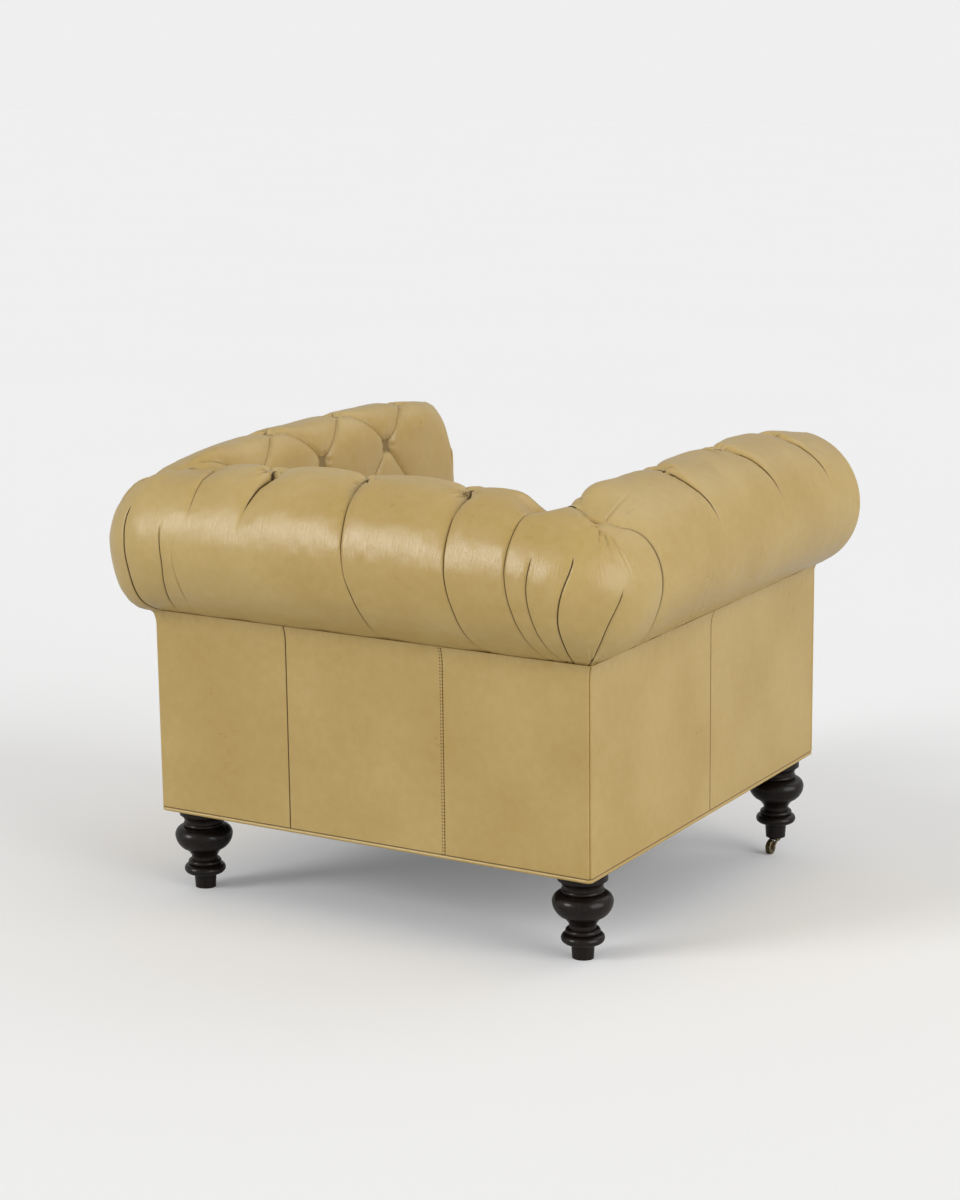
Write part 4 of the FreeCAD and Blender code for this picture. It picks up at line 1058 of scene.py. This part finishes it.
cushion_half_x = 0.3262
cushion_front = -0.430
cushion_back = 0.2609
cushion_bottom = 0.3003
cushion_seam = 0.3902
cushion_top = 0.4453
cushion_corner = 0.038
piping_radius = 0.0032
piping_lift = 0.006
cloth_frames = 20
held_band = 0.020
most_swell = 0.020


def rounded_outline(half_x, front, back, corner, count):
    """Even places round a rectangle with rounded corners, and their outward directions."""
    middle = (front + back) / 2
    half_y = (back - front) / 2
    straight_x, straight_y = half_x - corner, half_y - corner
    quarter = corner * math.pi / 2
    whole = 4 * (straight_x + straight_y) + 4 * quarter
    places = []
    outward = []
    for travel in np.linspace(0, whole, count + 1).tolist():
        left = travel
        point, away = Vector((straight_x, half_y)), Vector((0, 1))
        sides = ((1, 1, straight_y), (1, -1, straight_x), (-1, -1, straight_y), (-1, 1, straight_x))
        for number, (side_x, side_y, half_side) in enumerate(sides):
            centre = Vector((side_x * straight_x, side_y * straight_y))
            start_turn = math.pi / 2 - number * math.pi / 2
            if left <= quarter:
                turn = start_turn - left / corner
                away = Vector((math.cos(turn), math.sin(turn)))
                point = centre + corner * away
                break
            left -= quarter
            end_turn = start_turn - math.pi / 2
            away = Vector((math.cos(end_turn), math.sin(end_turn)))
            if left <= 2 * half_side:
                point = centre + corner * away + left * Vector((away.y, -away.x))
                break
            left -= 2 * half_side
        places.append((point.x, point.y + middle))
        outward.append((away.x, away.y))
    return np.array(places), np.array(outward)


def tube(points):
    """A closed bmesh over rows of points, joined where its ends meet and filled where they are open."""
    bm = grid(points)
    bmesh.ops.remove_doubles(bm, verts=bm.verts, dist=0.000005)
    open_edges = [edge for edge in bm.edges if edge.is_boundary]
    bmesh.ops.holes_fill(bm, edges=open_edges, sides=0)
    bmesh.ops.recalc_face_normals(bm, faces=bm.faces)
    return bm


def cushion_outline(inset, corner, count):
    front, back = cushion_front + inset, cushion_back - inset
    return rounded_outline(cushion_half_x - inset, front, back, corner, count)


def cushion_sections():
    """Rows of points over the slack cushion, from the middle of its underside to that of its top."""
    rows = []
    levels = [(0.32, 0.0), (0.22, 0.0), (0.10, 0.0), (0.030, 0.0), (0.006, 0.001), (0.001, 0.006)]
    border = cushion_seam - cushion_bottom
    levels += [(0.001, border * share) for share in (0.2, 0.4, 0.6, 0.8)] + [(0.001, border - 0.001)]
    crown = cushion_top - cushion_seam
    for inset, share in ((0.008, 0.10), (0.03, 0.34), (0.07, 0.58),
                          (0.12, 0.72), (0.18, 0.80), (0.25, 0.85), (0.32, 0.86)):
        levels.append((inset, border + crown * share))
    for inset, height in levels:
        corner = max(cushion_corner - inset, 0.003)
        places, _ = cushion_outline(inset, corner, 140)
        rows.append(np.column_stack([places, np.full(len(places), cushion_bottom + height)]))
    return np.array(rows)


def points_of(mesh):
    places = np.empty(len(mesh.vertices) * 3, np.float32)
    mesh.vertices.foreach_get("co", places)
    return places.reshape(-1, 3).astype(float)


def blown_up(piece):
    """Lets the cover swell as cloth under pressure, with its seams and its underside held."""
    scene = bpy.context.scene
    x, y, z = points_of(piece.data).T
    at_seam = np.minimum(np.abs(z - cushion_seam), np.abs(z - cushion_bottom)) < 0.006
    at_side = np.abs(x) > cushion_half_x - held_band
    at_side |= (y < cushion_front + held_band) | (y > cushion_back - held_band)
    is_held = (at_seam & at_side) | (z < cushion_bottom + 0.002)
    held = piece.vertex_groups.new(name="held")
    held.add(np.flatnonzero(is_held).tolist(), 1.0, "REPLACE")
    cloth = piece.modifiers.new("cover", "CLOTH")
    cloth.settings.quality = 6
    cloth.settings.mass = 0.4
    cloth.settings.tension_stiffness = 12
    cloth.settings.compression_stiffness = 12
    cloth.settings.bending_stiffness = 1.2
    cloth.settings.use_pressure = True
    cloth.settings.uniform_pressure_force = 4.0
    cloth.settings.effector_weights.gravity = 0.0
    cloth.settings.vertex_group_mass = "held"
    cloth.point_cache.frame_start = 1
    cloth.point_cache.frame_end = cloth_frames
    for number in range(1, cloth_frames + 1):
        scene.frame_set(number)
    places = points_of(piece.evaluated_get(bpy.context.evaluated_depsgraph_get()).data)
    piece.modifiers.clear()
    scene.frame_set(1)
    return places


def make_cushion():
    """The cover, remeshed evenly, blown up within its box and piped along its seams."""
    slack = link("cushion_slack", mesh_of("cushion_slack", tube(cushion_sections())))
    bpy.context.view_layer.objects.active = slack
    slack.data.remesh_voxel_size = 0.009
    bpy.ops.object.select_all(action="DESELECT")
    slack.select_set(True)
    bpy.ops.object.voxel_remesh()
    rest = points_of(slack.data)
    places = blown_up(slack)
    move = places - rest
    length = np.linalg.norm(move, axis=1, keepdims=True)
    places = rest + move * np.minimum(1, most_swell / np.maximum(length, 1e-9))
    places = np.clip(places, (-cushion_half_x, cushion_front, cushion_bottom),
                     (cushion_half_x, cushion_back, cushion_top))
    places[:, 2] += 0.0012 * wander(places[:, 0], places[:, 1], 0.09, 21) * (places[:, 2] > cushion_seam)
    bm = bmesh_of(slack.data)
    bpy.data.objects.remove(slack)
    for vert, place in zip(bm.verts, places):
        vert.co = place
    bmesh.ops.subdivide_edges(bm, edges=bm.edges, cuts=1, use_grid_fill=True, smooth=0.6)
    bmesh.ops.recalc_face_normals(bm, faces=bm.faces)
    cushion = finish_mesh("seat_cushion", bm, "seat_cushion", leather)
    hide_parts("seat_cushion_cover")
    outline, outward = cushion_outline(0.001, cushion_corner, 260)
    for name, height in (("upper_cushion_piping", cushion_seam),
                         ("lower_cushion_piping", cushion_bottom + piping_lift)):
        ring = []
        for turn in np.linspace(0, 2 * math.pi, 13):
            reach = piping_radius * (math.cos(turn) - 1) + 0.001
            ring.append(np.column_stack([outline + outward * reach,
                                         np.full(len(outline), height + piping_radius * math.sin(turn))]))
        piping = finish_mesh(name, tube(np.array(ring)), "seat_cushion", leather)


# The deck under the cushion and the band in front of it

deck_front = -0.415
deck_back = 0.367
deck_bottom = 0.2545
deck_top = 0.2995
deck_inset = 0.060
band_back = -0.427
nose_radius = 0.014
nose_start = 0.286
band_foot = seam_height


def make_deck():
    """The deck's pad: a flat underside and a slightly sagging top with rounded edges."""
    inner_x = half_width - panel_thickness - deck_inset
    x, y = np.meshgrid(np.linspace(-inner_x, inner_x, 61), np.linspace(deck_front, deck_back, 61))
    edge = np.minimum(inner_x - np.abs(x), np.minimum(y - deck_front, deck_back - y))
    sag = 0.0015 * (1 + wander(x, y, 0.11, 31))
    upper = np.stack([x, y, deck_top - 0.010 * np.exp(-edge / 0.008) - sag], axis=-1)
    lower = np.stack([x, y, np.full(x.shape, deck_bottom)], axis=-1)
    rows = np.concatenate([upper, lower[::-1], upper[:1]], axis=0)
    deck = finish_mesh("deck_cloth", tube(rows), "chair_body", foam)
    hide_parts("deck_pad")


def make_border():
    """The band across the front below the cushion, with a rounded nose."""
    reach = core_x + inner_u - (shoulder_z - deck_height) * math.tan(arm_lean) - 0.0003
    front = -half_depth
    profile = [(band_back, deck_bottom), (band_back, band_foot), (front, band_foot)]
    profile += [(front, band_foot + (nose_start - band_foot) * share) for share in np.linspace(0.02, 1, 30)]
    for turn in np.linspace(0.15, math.pi / 2, 8):
        profile.append((front + nose_radius * (1 - math.cos(turn)),
                        nose_start + nose_radius * math.sin(turn)))
    profile += [(deck_front - 0.003, deck_top), (deck_front, deck_top - 0.0005), (deck_front, deck_bottom),
                (band_back, deck_bottom)]
    y, z = np.array(profile).T
    rows = []
    for x in np.linspace(-reach, reach, 121):
        across = np.full(len(y), x)
        ripple = 0.0012 * (1 + wander(across, z, 0.05, 41))
        ripple *= (y < front + 0.005) * smooth(z, band_foot, band_foot + 0.017)
        rows.append(np.column_stack([across, y + ripple, z]))
    border = finish_mesh("front_band", tube(np.array(rows)), "chair_body", leather)
    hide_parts("front_border")


# The camera stands where the photograph was taken from, measured from the foot of the back
camera_place = (-2.4894, 3.8445, 1.2928)
camera_yaw = -1.0372
camera_pitch = 0.1891
camera_roll = 0.0089
focal_share = 2809 / 1200
sensor_size = 36.0


def make_camera():
    yaw, pitch, roll = camera_yaw, camera_pitch, camera_roll
    ahead = Vector((math.cos(yaw) * math.cos(pitch), math.sin(yaw) * math.cos(pitch), -math.sin(pitch)))
    level_right = Vector((math.sin(yaw), -math.cos(yaw), 0))
    level_up = level_right.cross(ahead)
    right = math.cos(roll) * level_right + math.sin(roll) * level_up
    up = math.cos(roll) * level_up - math.sin(roll) * level_right
    data = bpy.data.cameras.new("camera")
    data.sensor_width = sensor_size
    data.lens = sensor_size * focal_share
    camera = link("camera", data)
    turn = Matrix((right, up, -ahead)).transposed().to_4x4()
    seam_foot = stand @ Vector((0, half_depth, seam_height))
    camera.matrix_world = Matrix.Translation(seam_foot + Vector(camera_place)) @ turn
    bpy.context.scene.camera = camera


# The studio

backdrop_grey = 0.866
floor_grey = 0.865
# The floor's glow, seen only by the camera, is painted light that lightens the chair's shadow on it.
floor_glow = 0.110
floor_bounce_grey = 0.66
sky_light = 0.475
floor_reach = 60


def grey(level):
    return (level, level, level, 1)


def make_floor():
    """A wide pale floor whose far part has the backdrop's brightness, glowing a little for the camera as
    painted light over the chair's shadow.
    """
    bm = bmesh.new()
    bmesh.ops.create_grid(bm, x_segments=1, y_segments=1, size=floor_reach)
    floor = link("floor", mesh_of("floor", bm))
    material, tree, shader = principled("floor_paper", roughness=0.9, specular_ior_level=0.0,
                                        emission_strength=1.0)
    seen = tree.nodes.new("ShaderNodeLightPath").outputs["Is Camera Ray"]
    cloudy = ramp(tree, noise(tree, coordinates(tree, "Object"), 0.7), 0.3, 0.7)
    tone = mix_colour(tree, cloudy, grey(floor_grey - 0.004), grey(floor_grey))
    set_inputs(tree, shader, base_color=mix_colour(tree, seen, grey(floor_bounce_grey), tone),
               emission_color=math_node(tree, "MULTIPLY", seen, floor_glow))
    floor.data.materials.append(material)


def make_world():
    """Soft light from all round, while the camera sees the pale backdrop beyond the floor."""
    world = bpy.data.worlds.new("studio")
    bpy.context.scene.world = world
    world.use_nodes = True
    tree = world.node_tree
    backdrop = set_inputs(tree, tree.nodes["Background"], color=grey(backdrop_grey), strength=1.0)
    light = add(tree, "ShaderNodeBackground", color=grey(1), strength=sky_light)
    path = tree.nodes.new("ShaderNodeLightPath").outputs
    shown = math_node(tree, "MAXIMUM", path["Is Camera Ray"], path["Is Transmission Ray"])
    mix = tree.nodes.new("ShaderNodeMixShader")
    for socket, output in zip(mix.inputs, (shown, light.outputs[0], backdrop.outputs[0])):
        tree.links.new(output, socket)
    tree.links.new(mix.outputs[0], tree.nodes["World Output"].inputs["Surface"])


def make_sun(name, direction, softness, strength):
    """An even, soft light from one direction."""
    data = bpy.data.lights.new(name, "SUN")
    data.angle = math.radians(softness)
    data.energy = strength
    lamp = link(name, data)
    lamp.matrix_world = Vector(direction).to_track_quat("Z", "Y").to_matrix().to_4x4()


make_camera()
make_floor()
make_world()
make_sun("key", (-0.35, -0.80, 0.95), 45, 0.30)
make_sun("side", (-1.0, 0.10, 0.32), 50, 1.66)
make_sun("front", (0.515, 0.752, 0.416), 24, 1.28)
bpy.context.scene.view_settings.view_transform = "Standard"

dress_cad_nodes()
make_leather()
make_cushion()
make_deck()
make_border()
